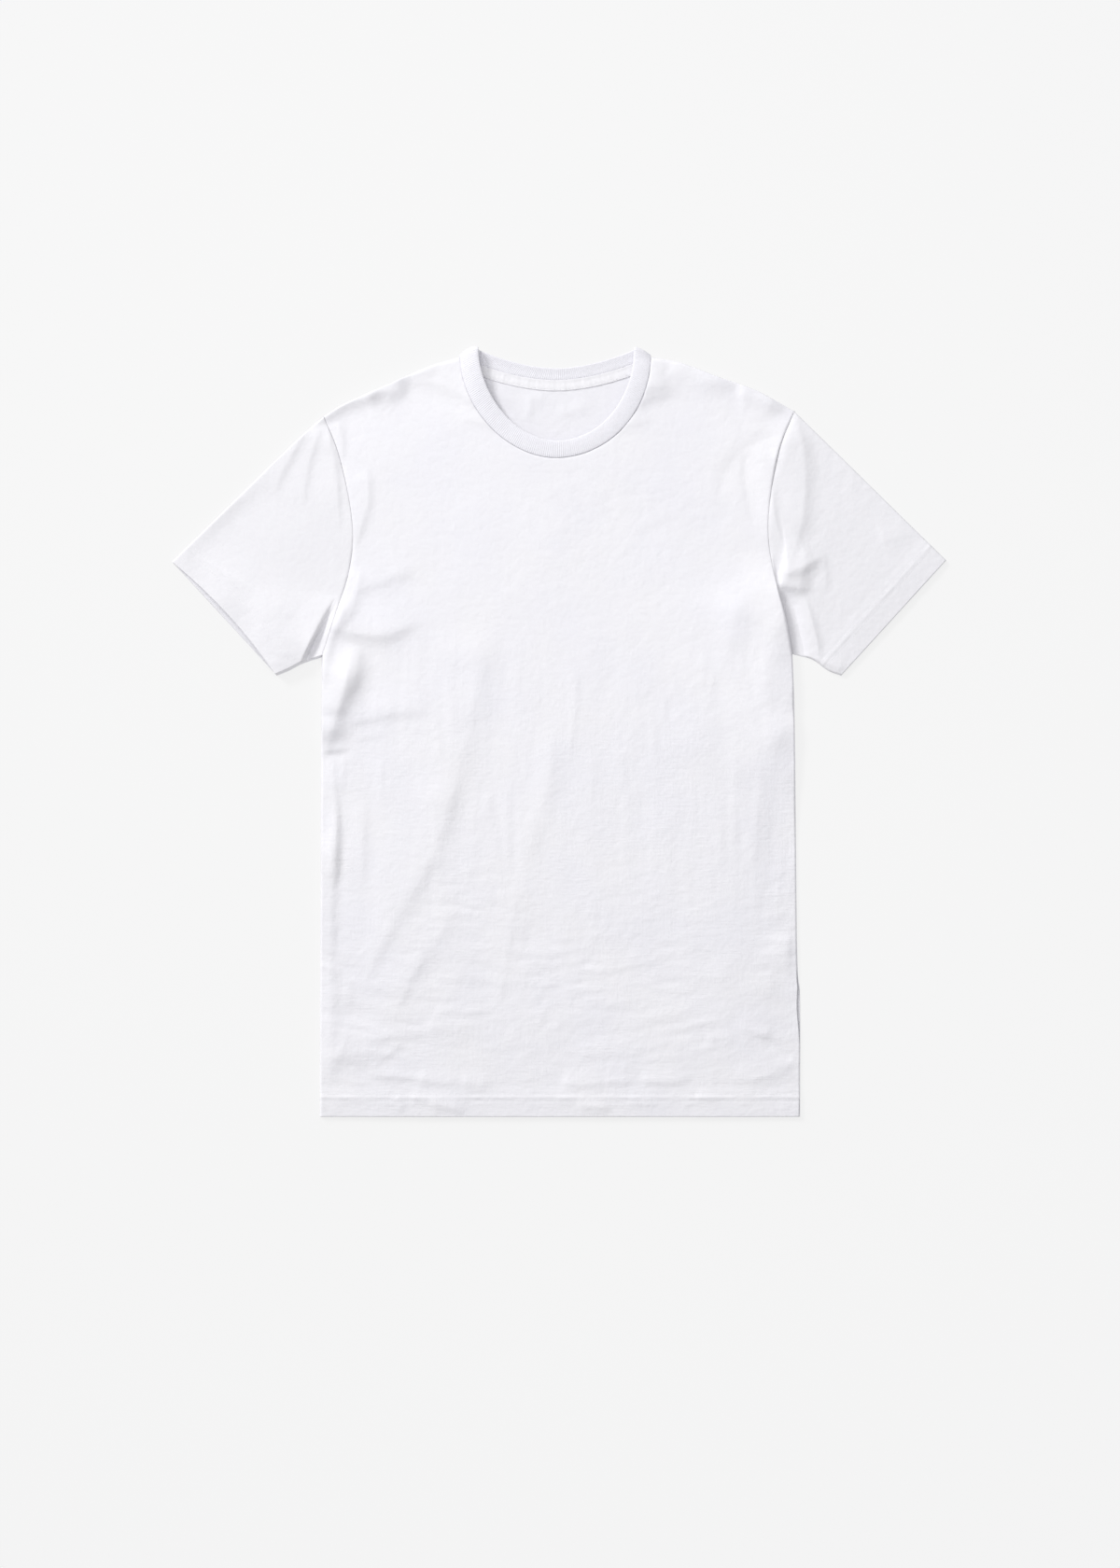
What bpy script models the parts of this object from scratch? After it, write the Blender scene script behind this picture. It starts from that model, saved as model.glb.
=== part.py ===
"""A crew neck T-shirt that lies flat on its back: two jersey panels, two sleeves, a neck rib
and a neck tape.

+X is to the right as one looks down on it, +Y runs from the hem to the neck and +Z is up. The
origin is under the middle of the T-shirt's box, on the surface that it lies on. Sizes and places
are in millimetres, and MM turns them into metres where a mesh is made.
"""

import math

import bpy
import numpy as np

MM = 0.001

# --- Cloth ---------------------------------------------------------------------------------
JERSEY = 1.1  # wall of the panels and sleeves
HEM_WALL = 1.8  # a panel and its hem, turned inside and pressed
RIB = 2.0  # the neck rib, folded double
TAPE = 1.0
GAP = 0.3  # between pieces that meet

BODY_HEM = 17.0  # from the bottom edge to the hem's stitching
SLEEVE_HEM = 19.0
HEM_STEP = 2.0  # over which the wall changes to a hem's
TAPE_WIDTH = 10.0
TAPE_SET_BACK = 1.1  # from the neck seam to the tape's upper edge

# --- Outline, seen from above --------------------------------------------------------------
HEM_Y = -360.25
NECK_Y = 351.5  # the shoulder seams' ends at the neck
NECK_X = -3.5  # the neck's middle
NECK_HALF_WIDTH = 89.3

LEFT_ARMPIT = (-222.3, 70.0)
LEFT_CUFF_UNDER = (-264.3, 52.9)
LEFT_CUFF_TOP = (-362.8, 159.7)
LEFT_SHOULDER = (-220.5, 296.0)
LEFT_NECK = (NECK_X - NECK_HALF_WIDTH, NECK_Y)

RIGHT_ARMPIT = (218.8, 73.0)
RIGHT_CUFF_UNDER = (264.3, 52.9)
RIGHT_CUFF_TOP = (362.8, 161.0)
RIGHT_SHOULDER = (220.5, 300.6)
RIGHT_NECK = (NECK_X + NECK_HALF_WIDTH, NECK_Y)

# Each edge is a smooth curve through its points.
OUTLINE = {
    "left": {
        "side_seam": [(-224.0, HEM_Y), (-224.0, -276.0), (-222.7, 4.0), LEFT_ARMPIT],
        "underarm": [LEFT_ARMPIT, (-239.8, 64.3), (-252.9, 57.6), LEFT_CUFF_UNDER],
        "cuff": [LEFT_CUFF_UNDER, LEFT_CUFF_TOP],
        "sleeve_top": [LEFT_CUFF_TOP, (-305.4, 215.9), (-246.0, 273.5), LEFT_SHOULDER],
        "shoulder": [LEFT_SHOULDER, (-200.4, 308.4), (-156.6, 327.7), (-121.6, 343.0), LEFT_NECK],
        "armhole": [
            LEFT_ARMPIT,
            (-207.4, 115.9),
            (-197.8, 145.7),
            (-193.0, 179.0),
            (-196.0, 214.0),
            (-206.5, 260.5),
            LEFT_SHOULDER,
        ],
    },
    "right": {
        "side_seam": [(225.8, HEM_Y), (225.8, -250.0), (223.1, -206.0), (220.9, 4.0), RIGHT_ARMPIT],
        "underarm": [RIGHT_ARMPIT, (237.1, 68.0), (252.0, 57.6), RIGHT_CUFF_UNDER],
        "cuff": [RIGHT_CUFF_UNDER, RIGHT_CUFF_TOP],
        "sleeve_top": [RIGHT_CUFF_TOP, (307.1, 215.7), (263.4, 258.6), RIGHT_SHOULDER],
        "shoulder": [RIGHT_SHOULDER, (184.6, 320.5), (149.6, 333.0), (114.6, 346.1), RIGHT_NECK],
        "armhole": [
            RIGHT_ARMPIT,
            (212.6, 107.0),
            (203.0, 139.6),
            (196.0, 179.0),
            (196.9, 214.0),
            (206.5, 264.7),
            RIGHT_SHOULDER,
        ],
    },
}

# Where the upper layer's edge lies inside the lower one's.
CUFF_DRAWN_IN = {"left": 5.3, "right": 0.0}  # at the middle of the cuff
SIDE_DRAWN_IN = [  # right side seam
    # middle y, half length, distance
    (-252.0, 38.0, 4.2),
    (-356.0, 14.0, 2.6),
]

# --- Neck ----------------------------------------------------------------------------------
FRONT_DEPTH = 95.0  # from the shoulder seams' ends down to the rib's seam
BACK_DEPTH = 22.0
BACK_SHAPE = 1.8  # power of the back neck's curve
NECK_FULLNESS = {"left": 1.86, "right": 2.0}  # power of the front neck's half ellipses

FREE_X = -2.6  # the rib's free edge: its middle, and its place at the shoulders
FREE_Y = 358.0
FREE_HALF_WIDTH = 72.6
FREE_FRONT_DEPTH = 85.4
FREE_BACK_DEPTH = 17.2

RIB_SEAM_HEIGHT = {"front_fold": 3.8, "back": 1.15}
FREE_HEIGHT = {"front": 7.6, "front_fold": 12.0, "back_fold": 2.4, "back": 2.7}
RIB_CROWN = 0.5  # how far the band bulges between its two edges
RIB_TURN = 2.2  # how far it reaches out at most where it turns over at a shoulder

# --- Height of the upper layer, at the middle of its wall ----------------------------------
EDGE_HEIGHT = JERSEY + GAP + JERSEY / 2  # at the closed edges, on the lower layer
ROLL_RISE, ROLL_WIDTH = 1.2, 6.0  # the soft turn beside a closed edge
LOFT, LOFT_WIDTH = 1.9, 70.0  # the air between the layers further in
NECK_LIFT, NECK_REACH = 1.9, 45.0
HEM_PRESS, HEM_REACH = 0.75, 40.0  # how much flatter it lies at a hem, and how far in
HEM_LIFT = 2 * (HEM_WALL - JERSEY)  # both layers are thicker in the hem
HEM_SLOPE = 14.0
FOLD_FADE = 0.3  # part of a fold's length over which each end dies out
FOLD_MARGIN = 4.0  # folds die out this near a closed edge
NECK_MARGIN = 14.0  # the lift round the neck dies out this near a closed edge
SOFTEST = 0.8  # rounds off where a trough reaches the lower layer

FOLDS = [
    # from x, y, to x, y, bow to the left, half width, height
    (-66.0, 100.0, -184.0, -240.0, 14.0, 11.5, 4.0),  # long drape from the chest
    (-82.0, -94.0, -158.0, -264.0, 11.0, 7.0, 1.8),
    (-39.0, -142.0, -54.0, -256.0, 0.0, 6.0, -0.8),
    (22.0, 72.0, 13.0, -46.0, 2.0, 7.0, -1.0),
    (-22.0, -66.0, -42.0, -142.0, 2.0, 7.0, 0.8),
    (78.0, -48.0, 72.0, -144.0, 2.0, 7.0, -0.8),
    (-174.0, 96.0, -204.0, -30.0, 5.0, 7.0, -3.6),  # deep crease by the left side
    (-195.0, 92.0, -219.0, -26.0, 2.0, 6.0, 3.6),  # the puff outside it
    (-212.0, 101.0, -132.0, 104.0, -9.0, 5.5, 2.2),  # creases that run in from the left side
    (-190.0, 134.0, -114.0, 168.0, 3.0, 6.0, 1.4),
    (-202.0, 124.0, -215.0, 84.0, -2.0, 5.0, 2.2),
    (-200.0, -40.0, -200.0, -134.0, 0.0, 5.0, -1.2),  # the left side, down to the hem
    (-215.0, -80.0, -217.0, -312.0, 0.0, 5.5, 2.0),
    (206.0, 6.0, 189.0, -190.0, 4.0, 8.0, -2.2),  # the right side
    (197.0, -206.0, 203.0, -270.0, 0.0, 9.0, 1.6),
    (134.0, 99.0, 197.0, 90.0, 2.0, 11.0, 1.2),
    (212.0, 280.0, 148.0, 200.0, -18.0, 6.0, -1.3),  # arcs beside the right armhole
    (175.0, 268.0, 185.0, 176.0, -3.0, 6.0, -1.3),
    (-181.0, 250.0, -196.0, 162.0, 2.0, 6.0, 1.5),  # beside the left armhole
    (-228.0, 294.0, -164.0, 318.0, 3.0, 5.0, 2.6),  # left shoulder
    (-180.0, 314.0, -134.0, 320.0, 3.0, 5.0, 2.4),
    (-154.0, 330.0, -110.0, 331.0, 7.0, 6.0, 2.0),
    (-120.0, 334.0, -80.0, 313.0, -2.0, 6.0, 2.0),
    (110.0, 334.0, 176.0, 328.0, -3.0, 6.0, 2.2),  # right shoulder
    (162.0, 321.0, 210.0, 302.0, -1.0, 6.0, 2.2),
    (68.0, 298.0, 104.0, 322.0, 3.0, 6.0, 2.0),
    (-358.0, 160.0, -256.0, 260.0, 0.0, 5.0, 1.8),  # left sleeve
    (-236.0, 284.0, -262.0, 224.0, -3.0, 6.0, 2.2),
    (-230.0, 288.0, -242.0, 216.0, -2.0, 6.0, 2.4),
    (-217.0, 292.0, -206.0, 190.0, -2.0, 6.0, 2.0),
    (-216.0, 130.0, -256.0, 54.0, -2.0, 7.0, 4.2),
    (-206.0, 128.0, -239.0, 58.0, -2.0, 5.5, -5.5),
    (219.0, 298.0, 216.0, 168.0, 11.0, 7.0, 3.4),  # right sleeve
    (215.0, 282.0, 206.0, 164.0, -1.0, 5.0, -2.0),
    (206.0, 152.0, 249.0, 184.0, -8.0, 5.0, 3.0),
    (203.0, 143.0, 239.0, 139.0, 0.0, 4.5, 2.6),
    (200.0, 146.0, 218.0, 60.0, 0.0, 5.0, 3.8),
    (213.0, 142.0, 229.0, 62.0, 1.0, 5.0, -6.0),
    (230.0, 124.0, 245.0, 72.0, -1.0, 5.0, 2.0),
    (-210.0, -283.0, -146.0, -287.0, 3.0, 7.0, 1.3),  # slack above the bottom hem
    (-182.0, -326.0, -134.0, -296.0, 6.0, 6.0, 0.9),
    (134.0, -318.0, 222.0, -302.0, -6.0, 6.0, 2.0),
    (168.0, -270.0, 216.0, -282.0, 3.0, 7.0, 1.0),
]

# --- Grid lines ----------------------------------------------------------------------------
NECK_PART = (0.24, 0.76)  # parts of the chest's width below the neck seam's two ends
LEFT_STEPS = [0.0, 1.5, 5.0, 15.0, 26.0, 37.0, 48.0, 60.0, 72.0, 84.0, 96.0, 107.0]
RIGHT_STEPS = [0.0, 13.0, 27.0, 41.0, 55.0, 69.0, 82.0, 94.0, 102.0, 105.5, 107.0]
FRONT_NECK_STEPS = 16
BACK_NECK_STEPS = 14
BODY_ROWS = 27  # from the hem's stitching to the armpits
ARM_ROWS = [0.0, 0.008, 0.026, *np.linspace(0.09, 0.91, 12), 0.974, 0.992, 1.0]
SLEEVE_COLUMNS = 12  # from the armhole to the sleeve hem's stitching
RIB_STATIONS_TO = 0.94  # part of the back neck's half width where the rib's back half ends
TAPE_TO = 0.9
FOLD_ANGLES = (90.0, 45.0, 0.0, -45.0, -90.0)  # round the rib's turn at each shoulder
RIB_SECTION = [
    # part of the way from seam to free edge, side
    (0.0, 1),
    (0.35, 1),
    (0.7, 1),
    (0.93, 0.8),
    (1.0, 0),
    (0.93, -0.8),
    (0.7, -1),
    (0.35, -1),
    (0.0, -1),
]

WHITE = (0.90, 0.895, 0.925)
RIB_WHITE = (0.89, 0.885, 0.92)


# --- Curves --------------------------------------------------------------------------------
def smooth(points, steps=10):
    """A polyline on the smooth curve through the points."""
    p = np.asarray(points, float)
    if len(p) == 2:
        return p
    q = np.vstack([2 * p[0] - p[1], p, 2 * p[-1] - p[-2]])
    t = np.linspace(0, 1, steps, endpoint=False)[:, None]
    spans = []
    for a, b, c, d in zip(q, q[1:], q[2:], q[3:]):
        cubic = (3 * b - a - 3 * c + d) * t**3
        spans.append((2 * b + (c - a) * t + (2 * a - 5 * b + 4 * c - d) * t**2 + cubic) / 2)
    return np.vstack([*spans, p[-1:]])


def along(curve, parts):
    """Points on the polyline at these parts of its length."""
    walked = np.concatenate([[0], np.cumsum(np.linalg.norm(np.diff(curve, axis=0), axis=1))])
    at = np.asarray(parts) * walked[-1]
    return np.stack([np.interp(at, walked, curve[:, k]) for k in range(curve.shape[1])], axis=-1)


def length(curve):
    return float(np.linalg.norm(np.diff(curve, axis=0), axis=1).sum())


def beside(curve, distance):
    """The polyline moved sideways, to the left of the way it runs."""
    way = np.gradient(curve, axis=0)
    way /= np.linalg.norm(way, axis=1, keepdims=True)
    return curve + distance * np.stack([-way[:, 1], way[:, 0]], axis=1)


def distance_to(points, curve):
    """How far each point is from the polyline."""
    start, run = curve[:-1], np.diff(curve, axis=0)
    away = points[..., None, :] - start
    part = np.clip((away * run).sum(-1) / (run**2).sum(-1), 0, 1)
    return np.linalg.norm(away - part[..., None] * run, axis=-1).min(-1)


def ease(t):
    t = np.clip(t, 0, 1)
    return t * t * (3 - 2 * t)


def patch(bottom, top, left, right, across, up):
    """Points of a surface between four edges. bottom, top, left and right hold its border."""
    u, v = np.asarray(across)[None, :, None], np.asarray(up)[:, None, None]
    ruled_up = (1 - v) * bottom[None] + v * top[None]
    ruled_across = (1 - u) * left[:, None] + u * right[:, None]
    corners = (1 - v) * ((1 - u) * bottom[0] + u * bottom[-1])
    corners = corners + v * ((1 - u) * top[0] + u * top[-1])
    return ruled_up + ruled_across - corners


EDGES = {
    side: {name: smooth(points) for name, points in edges.items()}
    for side, edges in OUTLINE.items()
}
# The edges where the two layers join.
CLOSED_EDGES = [
    np.vstack([EDGES[side][a], EDGES[side][b][1:]])
    for side in EDGES
    for a, b in (("side_seam", "underarm"), ("sleeve_top", "shoulder"))
]
BOTTOM = np.array([OUTLINE["left"]["side_seam"][0], OUTLINE["right"]["side_seam"][0]])
OPEN_EDGES = [BOTTOM, EDGES["left"]["cuff"], EDGES["right"]["cuff"]]


# --- Neck curves ---------------------------------------------------------------------------
def front_neck(x, y, half_width, depth, angles):
    """The front neckline from left to right: two half ellipses, fuller or slimmer."""
    points = []
    for angle in angles:
        power = 2 / NECK_FULLNESS["left" if angle < 0 else "right"]
        across = math.copysign(abs(math.sin(angle)) ** power, angle)
        points.append((x + half_width * across, y - depth * abs(math.cos(angle)) ** power))
    return np.array(points)


def back_neck(x, y, half_width, depth, parts):
    """The back neckline from left to right."""
    drop = depth * (1 - np.abs(parts) ** BACK_SHAPE)
    return np.stack([x + half_width * parts, y - drop], axis=1)


FRONT_ANGLES = np.linspace(-math.pi / 2, math.pi / 2, FRONT_NECK_STEPS + 1)
BACK_PARTS = np.sin(np.linspace(-math.pi / 2, math.pi / 2, BACK_NECK_STEPS + 1))
FRONT_SEAM = front_neck(NECK_X, NECK_Y, NECK_HALF_WIDTH, FRONT_DEPTH, FRONT_ANGLES)
BACK_SEAM = back_neck(NECK_X, NECK_Y, NECK_HALF_WIDTH, BACK_DEPTH, BACK_PARTS)


# --- Height of the upper layer -------------------------------------------------------------
def fold_height(points, fold):
    """One fold: a soft ridge or trough along a bowed line, dying out at both ends."""
    x0, y0, x1, y1, bow, half_width, height = fold
    run = np.array([x1 - x0, y1 - y0])
    size = np.linalg.norm(run)
    way = run / size
    away = points - np.array([x0, y0])
    part = away @ way / size
    off = away @ np.array([-way[1], way[0]]) - bow * 4 * part * (1 - part)
    fade = ease(part / FOLD_FADE) * ease((1 - part) / FOLD_FADE)
    return height * fade * np.exp(-0.5 * (off / half_width) ** 2)


def upper_height(points):
    """Height of the middle of the upper layer's wall above the surface that the T-shirt lies on."""
    inside = np.min([distance_to(points, edge) for edge in CLOSED_EDGES], axis=0)
    from_hem = np.min([distance_to(points, edge) for edge in OPEN_EDGES], axis=0)
    from_neck = distance_to(points, FRONT_SEAM)
    loose = 1 - HEM_PRESS * (1 - ease(from_hem / HEM_REACH))
    roll = ROLL_RISE * (1 - (1 - np.clip(inside / ROLL_WIDTH, 0, 1)) ** 2)
    loft = LOFT * ease(inside / LOFT_WIDTH)
    neck = NECK_LIFT * np.exp(-((from_neck / NECK_REACH) ** 2)) * ease(inside / NECK_MARGIN)
    folds = sum(fold_height(points, fold) for fold in FOLDS) * ease(inside / FOLD_MARGIN)
    rise = roll + neck + loose * (loft + folds)
    rise = (rise + np.sqrt(rise**2 + SOFTEST**2)) / 2
    rise = rise - SOFTEST / 2 * (1 - ease(inside / ROLL_WIDTH))
    in_hem = 1 - ease((from_hem - BODY_HEM) / HEM_SLOPE)
    return EDGE_HEIGHT + np.maximum(rise, 0) + HEM_LIFT * in_hem


def upper_layer(points, wall):
    """The outer and inner faces of the upper layer over these points of the plane. wall is its
    thickness at each, taken from the outer face inwards."""
    step = 1.0
    height = upper_height(points)
    slope = [
        (upper_height(points + np.array(way)) - upper_height(points - np.array(way))) / (2 * step)
        for way in ((step, 0.0), (0.0, step))
    ]
    normal = np.stack([-slope[0], -slope[1], np.ones_like(height)], axis=-1)
    normal /= np.linalg.norm(normal, axis=-1, keepdims=True)
    middle = np.dstack([points, height])
    outer = middle + normal * JERSEY / 2
    return outer, outer - normal * wall[..., None]


def lower_layer(points, wall):
    """The outer and inner faces of the lower layer, flat on the surface."""
    floor = np.zeros(points.shape[:2])
    return np.dstack([points, floor]), np.dstack([points, floor + wall])


# --- Meshes --------------------------------------------------------------------------------
def cloth(name, colour, roughness):
    """A matt cloth material."""
    material = bpy.data.materials.new(name)
    material.use_nodes = True
    shader = material.node_tree.nodes["Principled BSDF"]
    shader.inputs["Base Color"].default_value = (*colour, 1.0)
    shader.inputs["Roughness"].default_value = roughness
    shader.inputs["Metallic"].default_value = 0.0
    return material


def solid(name, points, faces, material):
    """An object from points in mm, with its faces turned to point out."""
    corners = points[np.array(faces)]
    middle = corners.mean(axis=1)
    fans = [np.cross(corners[:, k], corners[:, (k + 1) % 4]) for k in range(4)]
    if (middle * sum(fans)).sum() < 0:
        faces = [face[::-1] for face in faces]
    mesh = bpy.data.meshes.new(name)
    mesh.from_pydata((points * MM).tolist(), [], faces)
    mesh.validate()
    mesh.shade_smooth()
    mesh.set_sharp_from_angle(angle=math.radians(40))
    mesh.materials.append(material)
    made = bpy.data.objects.new(name, mesh)
    bpy.context.scene.collection.objects.link(made)
    return made


def quads(rows, columns, wrap_rows=False, wrap_columns=False):
    """Faces of a grid of points that are numbered row by row."""
    found = []
    for i in range(rows if wrap_rows else rows - 1):
        for j in range(columns if wrap_columns else columns - 1):
            below, above = i * columns, (i + 1) % rows * columns
            after = (j + 1) % columns
            found.append((below + j, below + after, above + after, above + j))
    return found


def wall(name, outer, inner, material, tube=False):
    """A closed wall between two grids of points. A tube's columns go all the way round."""
    rows, columns = outer.shape[:2]
    count = rows * columns
    faces = quads(rows, columns, wrap_columns=tube)
    faces += [tuple(k + count for k in face[::-1]) for face in faces]
    border = [[row * columns + j for j in range(columns)] for row in (0, rows - 1)]
    if tube:
        border = [line + line[:1] for line in border]
    else:
        border += [[i * columns + column for i in range(rows)] for column in (0, columns - 1)]
    runs_with_face = (True, False, False, True)
    for line, turned in zip(border, runs_with_face):
        for a, b in zip(line, line[1:]):
            rim = (a, b, b + count, a + count)
            faces.append(rim[::-1] if turned else rim)
    points = np.vstack([outer.reshape(-1, 3), inner.reshape(-1, 3)])
    return solid(name, points, faces, material)


# --- Pieces --------------------------------------------------------------------------------
def drawn_in(side_seam):
    """The right side seam's upper layer, which lies inside the lower one in places."""
    y = side_seam[:, 1]
    inset = sum(depth * np.exp(-(((y - at) / half) ** 2)) for at, half, depth in SIDE_DRAWN_IN)
    return side_seam - np.stack([inset, np.zeros_like(inset)], axis=1)


def panel_grid(neck_seam, right_side_seam):
    """Points of a body panel in the plane, row by row from the hem, and each row's distance
    from the hem below the armpits."""
    left, right = EDGES["left"], EDGES["right"]
    neck_parts = np.linspace(*NECK_PART, len(neck_seam))
    left_parts = np.array(LEFT_STEPS) / LEFT_STEPS[-1]
    right_parts = np.array(RIGHT_STEPS) / RIGHT_STEPS[-1]
    across = np.concatenate(
        [
            left_parts[:-1] * NECK_PART[0],
            neck_parts,
            NECK_PART[1] + right_parts[1:] * (1 - NECK_PART[1]),
        ]
    )
    neck = beside(neck_seam, -GAP / 2)
    top = np.vstack(
        [
            along(left["shoulder"], left_parts)[:-1],
            neck,
            along(right["shoulder"][::-1], right_parts)[1:],
        ]
    )
    chest = along(np.array([LEFT_ARMPIT, RIGHT_ARMPIT]), across)
    hem_rows = [0.0, BODY_HEM - HEM_STEP, BODY_HEM]
    seam_length = LEFT_ARMPIT[1] - HEM_Y
    up = np.concatenate([hem_rows[:-1], np.linspace(BODY_HEM, seam_length, BODY_ROWS)])
    body = patch(
        along(BOTTOM, across),
        chest,
        along(left["side_seam"], up / seam_length),
        along(right_side_seam, up / seam_length),
        across,
        up / seam_length,
    )
    armholes = [
        beside(along(edges["armhole"], ARM_ROWS), turn * GAP / 2)
        for edges, turn in ((left, -1), (right, 1))
    ]
    chest[[0, -1]] = armholes[0][0], armholes[1][0]
    top[[0, -1]] = armholes[0][-1], armholes[1][-1]
    yoke = patch(chest, top, *armholes, across, ARM_ROWS)
    return np.vstack([body, yoke[1:]]), np.concatenate([up, np.full(len(yoke) - 1, np.inf)])


def hem_wall(from_hem, hem_depth):
    """Wall thickness at this distance from a hem's edge."""
    return np.where(from_hem <= hem_depth - HEM_STEP, HEM_WALL, JERSEY)


def panels(material):
    right_side = EDGES["right"]["side_seam"]
    grid, from_hem = panel_grid(FRONT_SEAM, drawn_in(right_side))
    thick = np.broadcast_to(hem_wall(from_hem, BODY_HEM)[:, None], grid.shape[:2])
    wall("front_panel", *upper_layer(grid, thick), material)
    grid, from_hem = panel_grid(BACK_SEAM, right_side)
    thick = np.broadcast_to(hem_wall(from_hem, BODY_HEM)[:, None], grid.shape[:2])
    wall("back_panel", *lower_layer(grid, thick), material)


def sleeve_grid(side, cuff_inset):
    """Points of one layer of a sleeve in the plane: a row for each line from the underarm to the
    top edge, from the armhole out to the cuff."""
    edges = EDGES[side]
    outward = 1 if side == "right" else -1
    armhole = beside(along(edges["armhole"], ARM_ROWS), -outward * GAP / 2)
    bow = 4 * np.array(ARM_ROWS) * (1 - np.array(ARM_ROWS))
    cuff = edges["cuff"][-1] - edges["cuff"][0]
    inwards = outward * np.array([-cuff[1], cuff[0]]) / np.linalg.norm(cuff)

    def line(depth):
        """The line at this distance inside the cuff's edge."""
        under, top = edges["underarm"][::-1], edges["sleeve_top"]
        ends = [along(curve, [depth / length(curve)])[0] for curve in (under, top)]
        return along(np.array(ends), ARM_ROWS) + cuff_inset * bow[:, None] * inwards

    stitched = line(SLEEVE_HEM)
    out = np.linspace(0, 1, SLEEVE_COLUMNS + 1)
    under_part = 1 - SLEEVE_HEM / length(edges["underarm"])
    top_part = 1 - SLEEVE_HEM / length(edges["sleeve_top"])
    under = along(edges["underarm"], out * under_part)
    top = along(edges["sleeve_top"][::-1], out * top_part)
    under[0], top[0] = armhole[0], armhole[-1]
    arm = patch(armhole, stitched, under, top, ARM_ROWS, out)
    return np.vstack([arm, line(SLEEVE_HEM - HEM_STEP)[None], line(0)[None]])


def sleeve(side, material):
    """A flattened tube: the lower layer lies on the surface and the upper layer on that."""
    columns = SLEEVE_COLUMNS + 3
    thick = np.full((columns, len(ARM_ROWS)), JERSEY)
    thick[-2:] = HEM_WALL
    upper = upper_layer(sleeve_grid(side, CUFF_DRAWN_IN[side]), thick)
    lower = lower_layer(sleeve_grid(side, 0.0), thick)
    outer, inner = [], []
    for faces, loops, inset in ((0, outer, 0), (1, inner, 1)):
        for over, under in zip(upper[faces], lower[faces]):
            middle = (over[[0, -1]] + under[[0, -1]]) / 2
            ways = [over[1] - over[0], over[-2] - over[-1]]
            ways = [way[:2] / np.linalg.norm(way[:2]) for way in ways]
            turns = [
                np.append(point[:2] + JERSEY * inset * way, point[2])
                for point, way in zip(middle, ways)
            ]
            first, last = 1, len(over) - 1
            loops.append(
                np.vstack([turns[0], over[first:last], turns[1], under[first:last][::-1]])
            )
    wall(f"sleeve_{side}", np.array(outer), np.array(inner), material, tube=True)


def turn_over(corner, outwards, top, bottom):
    """Points round the rib's turn at a shoulder, from the front layer to the back one."""
    radius = (top - bottom) / 2
    points = []
    for angle in np.radians(FOLD_ANGLES):
        flat = np.asarray(corner) + min(radius, RIB_TURN) * math.cos(angle) * outwards
        points.append([*flat, (top + bottom) / 2 + radius * math.sin(angle)])
    return np.array(points)


def rib_loops():
    """The rib's seamed edge and its free edge, each all the way round the neck."""
    front = FRONT_ANGLES[1:-1]
    back = BACK_PARTS[np.abs(BACK_PARTS) <= RIB_STATIONS_TO]
    seam_front = beside(FRONT_SEAM, GAP / 2)[1:-1]
    seam_back = beside(BACK_SEAM, GAP / 2)[np.abs(BACK_PARTS) <= RIB_STATIONS_TO]
    free_front = front_neck(FREE_X, FREE_Y, FREE_HALF_WIDTH, FREE_FRONT_DEPTH, front)
    free_back = back_neck(FREE_X, FREE_Y, FREE_HALF_WIDTH, FREE_BACK_DEPTH, back)
    height = FREE_HEIGHT
    rise = height["front_fold"] - height["front"]
    free_front_z = height["front"] + rise * np.abs(np.sin(front)) ** 4
    fall = height["back"] - height["back_fold"]
    free_back_z = height["back"] - fall * np.abs(back) ** 2.5
    turns = {}
    for side, seam_corner, across in (("right", RIGHT_NECK, 1), ("left", LEFT_NECK, -1)):
        free_corner = np.array([FREE_X + across * FREE_HALF_WIDTH, FREE_Y])
        inwards = free_corner - seam_corner
        inwards /= np.linalg.norm(inwards)
        outwards = -across * np.array([-inwards[1], inwards[0]])
        seam_z = RIB_SEAM_HEIGHT["front_fold"], RIB_SEAM_HEIGHT["back"]
        free_z = height["front_fold"], height["back_fold"]
        corner = np.array(seam_corner) + GAP / 2 * inwards
        turns[side] = [
            turn_over(corner, outwards, *seam_z),
            turn_over(free_corner, outwards, *free_z),
        ]
    seam_front_z = upper_height(FRONT_SEAM)[1:-1]
    seam_back_z = np.full(len(back), RIB_SEAM_HEIGHT["back"])
    seam = [np.column_stack([seam_front, seam_front_z]), turns["right"][0]]
    seam += [np.column_stack([seam_back, seam_back_z])[::-1], turns["left"][0][::-1]]
    free = [np.column_stack([free_front, free_front_z]), turns["right"][1]]
    free += [np.column_stack([free_back, free_back_z])[::-1], turns["left"][1][::-1]]
    return np.vstack(seam), np.vstack(free)


def neck_rib(material):
    """A band round the neck, with a rounded free edge."""
    seam, free = rib_loops()
    middle = (seam + free) / 2
    way = np.roll(middle, -1, axis=0) - np.roll(middle, 1, axis=0)
    normal = np.cross(way, free - seam)
    normal /= np.linalg.norm(normal, axis=1, keepdims=True)
    rows = []
    for part, side in RIB_SECTION:
        crown = RIB_CROWN * 4 * part * (1 - part)
        rows.append(seam + part * (free - seam) + (crown + side * RIB / 2) * normal)
    points = np.stack(rows, axis=1)
    faces = quads(len(seam), len(RIB_SECTION), wrap_rows=True, wrap_columns=True)
    return solid("neck_rib", points.reshape(-1, 3), faces, material)


def neck_tape(material):
    """A strip on the back panel, below the neck seam, moved out from the panel's own points."""
    edge = BACK_SEAM[np.abs(BACK_PARTS) <= TAPE_TO]
    strip = np.stack(
        [beside(edge, -TAPE_SET_BACK), beside(edge, -TAPE_SET_BACK - TAPE_WIDTH)]
    )
    under = np.full(strip.shape[:2], JERSEY + GAP)
    wall("neck_tape", np.dstack([strip, under]), np.dstack([strip, under + TAPE]), material)


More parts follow.
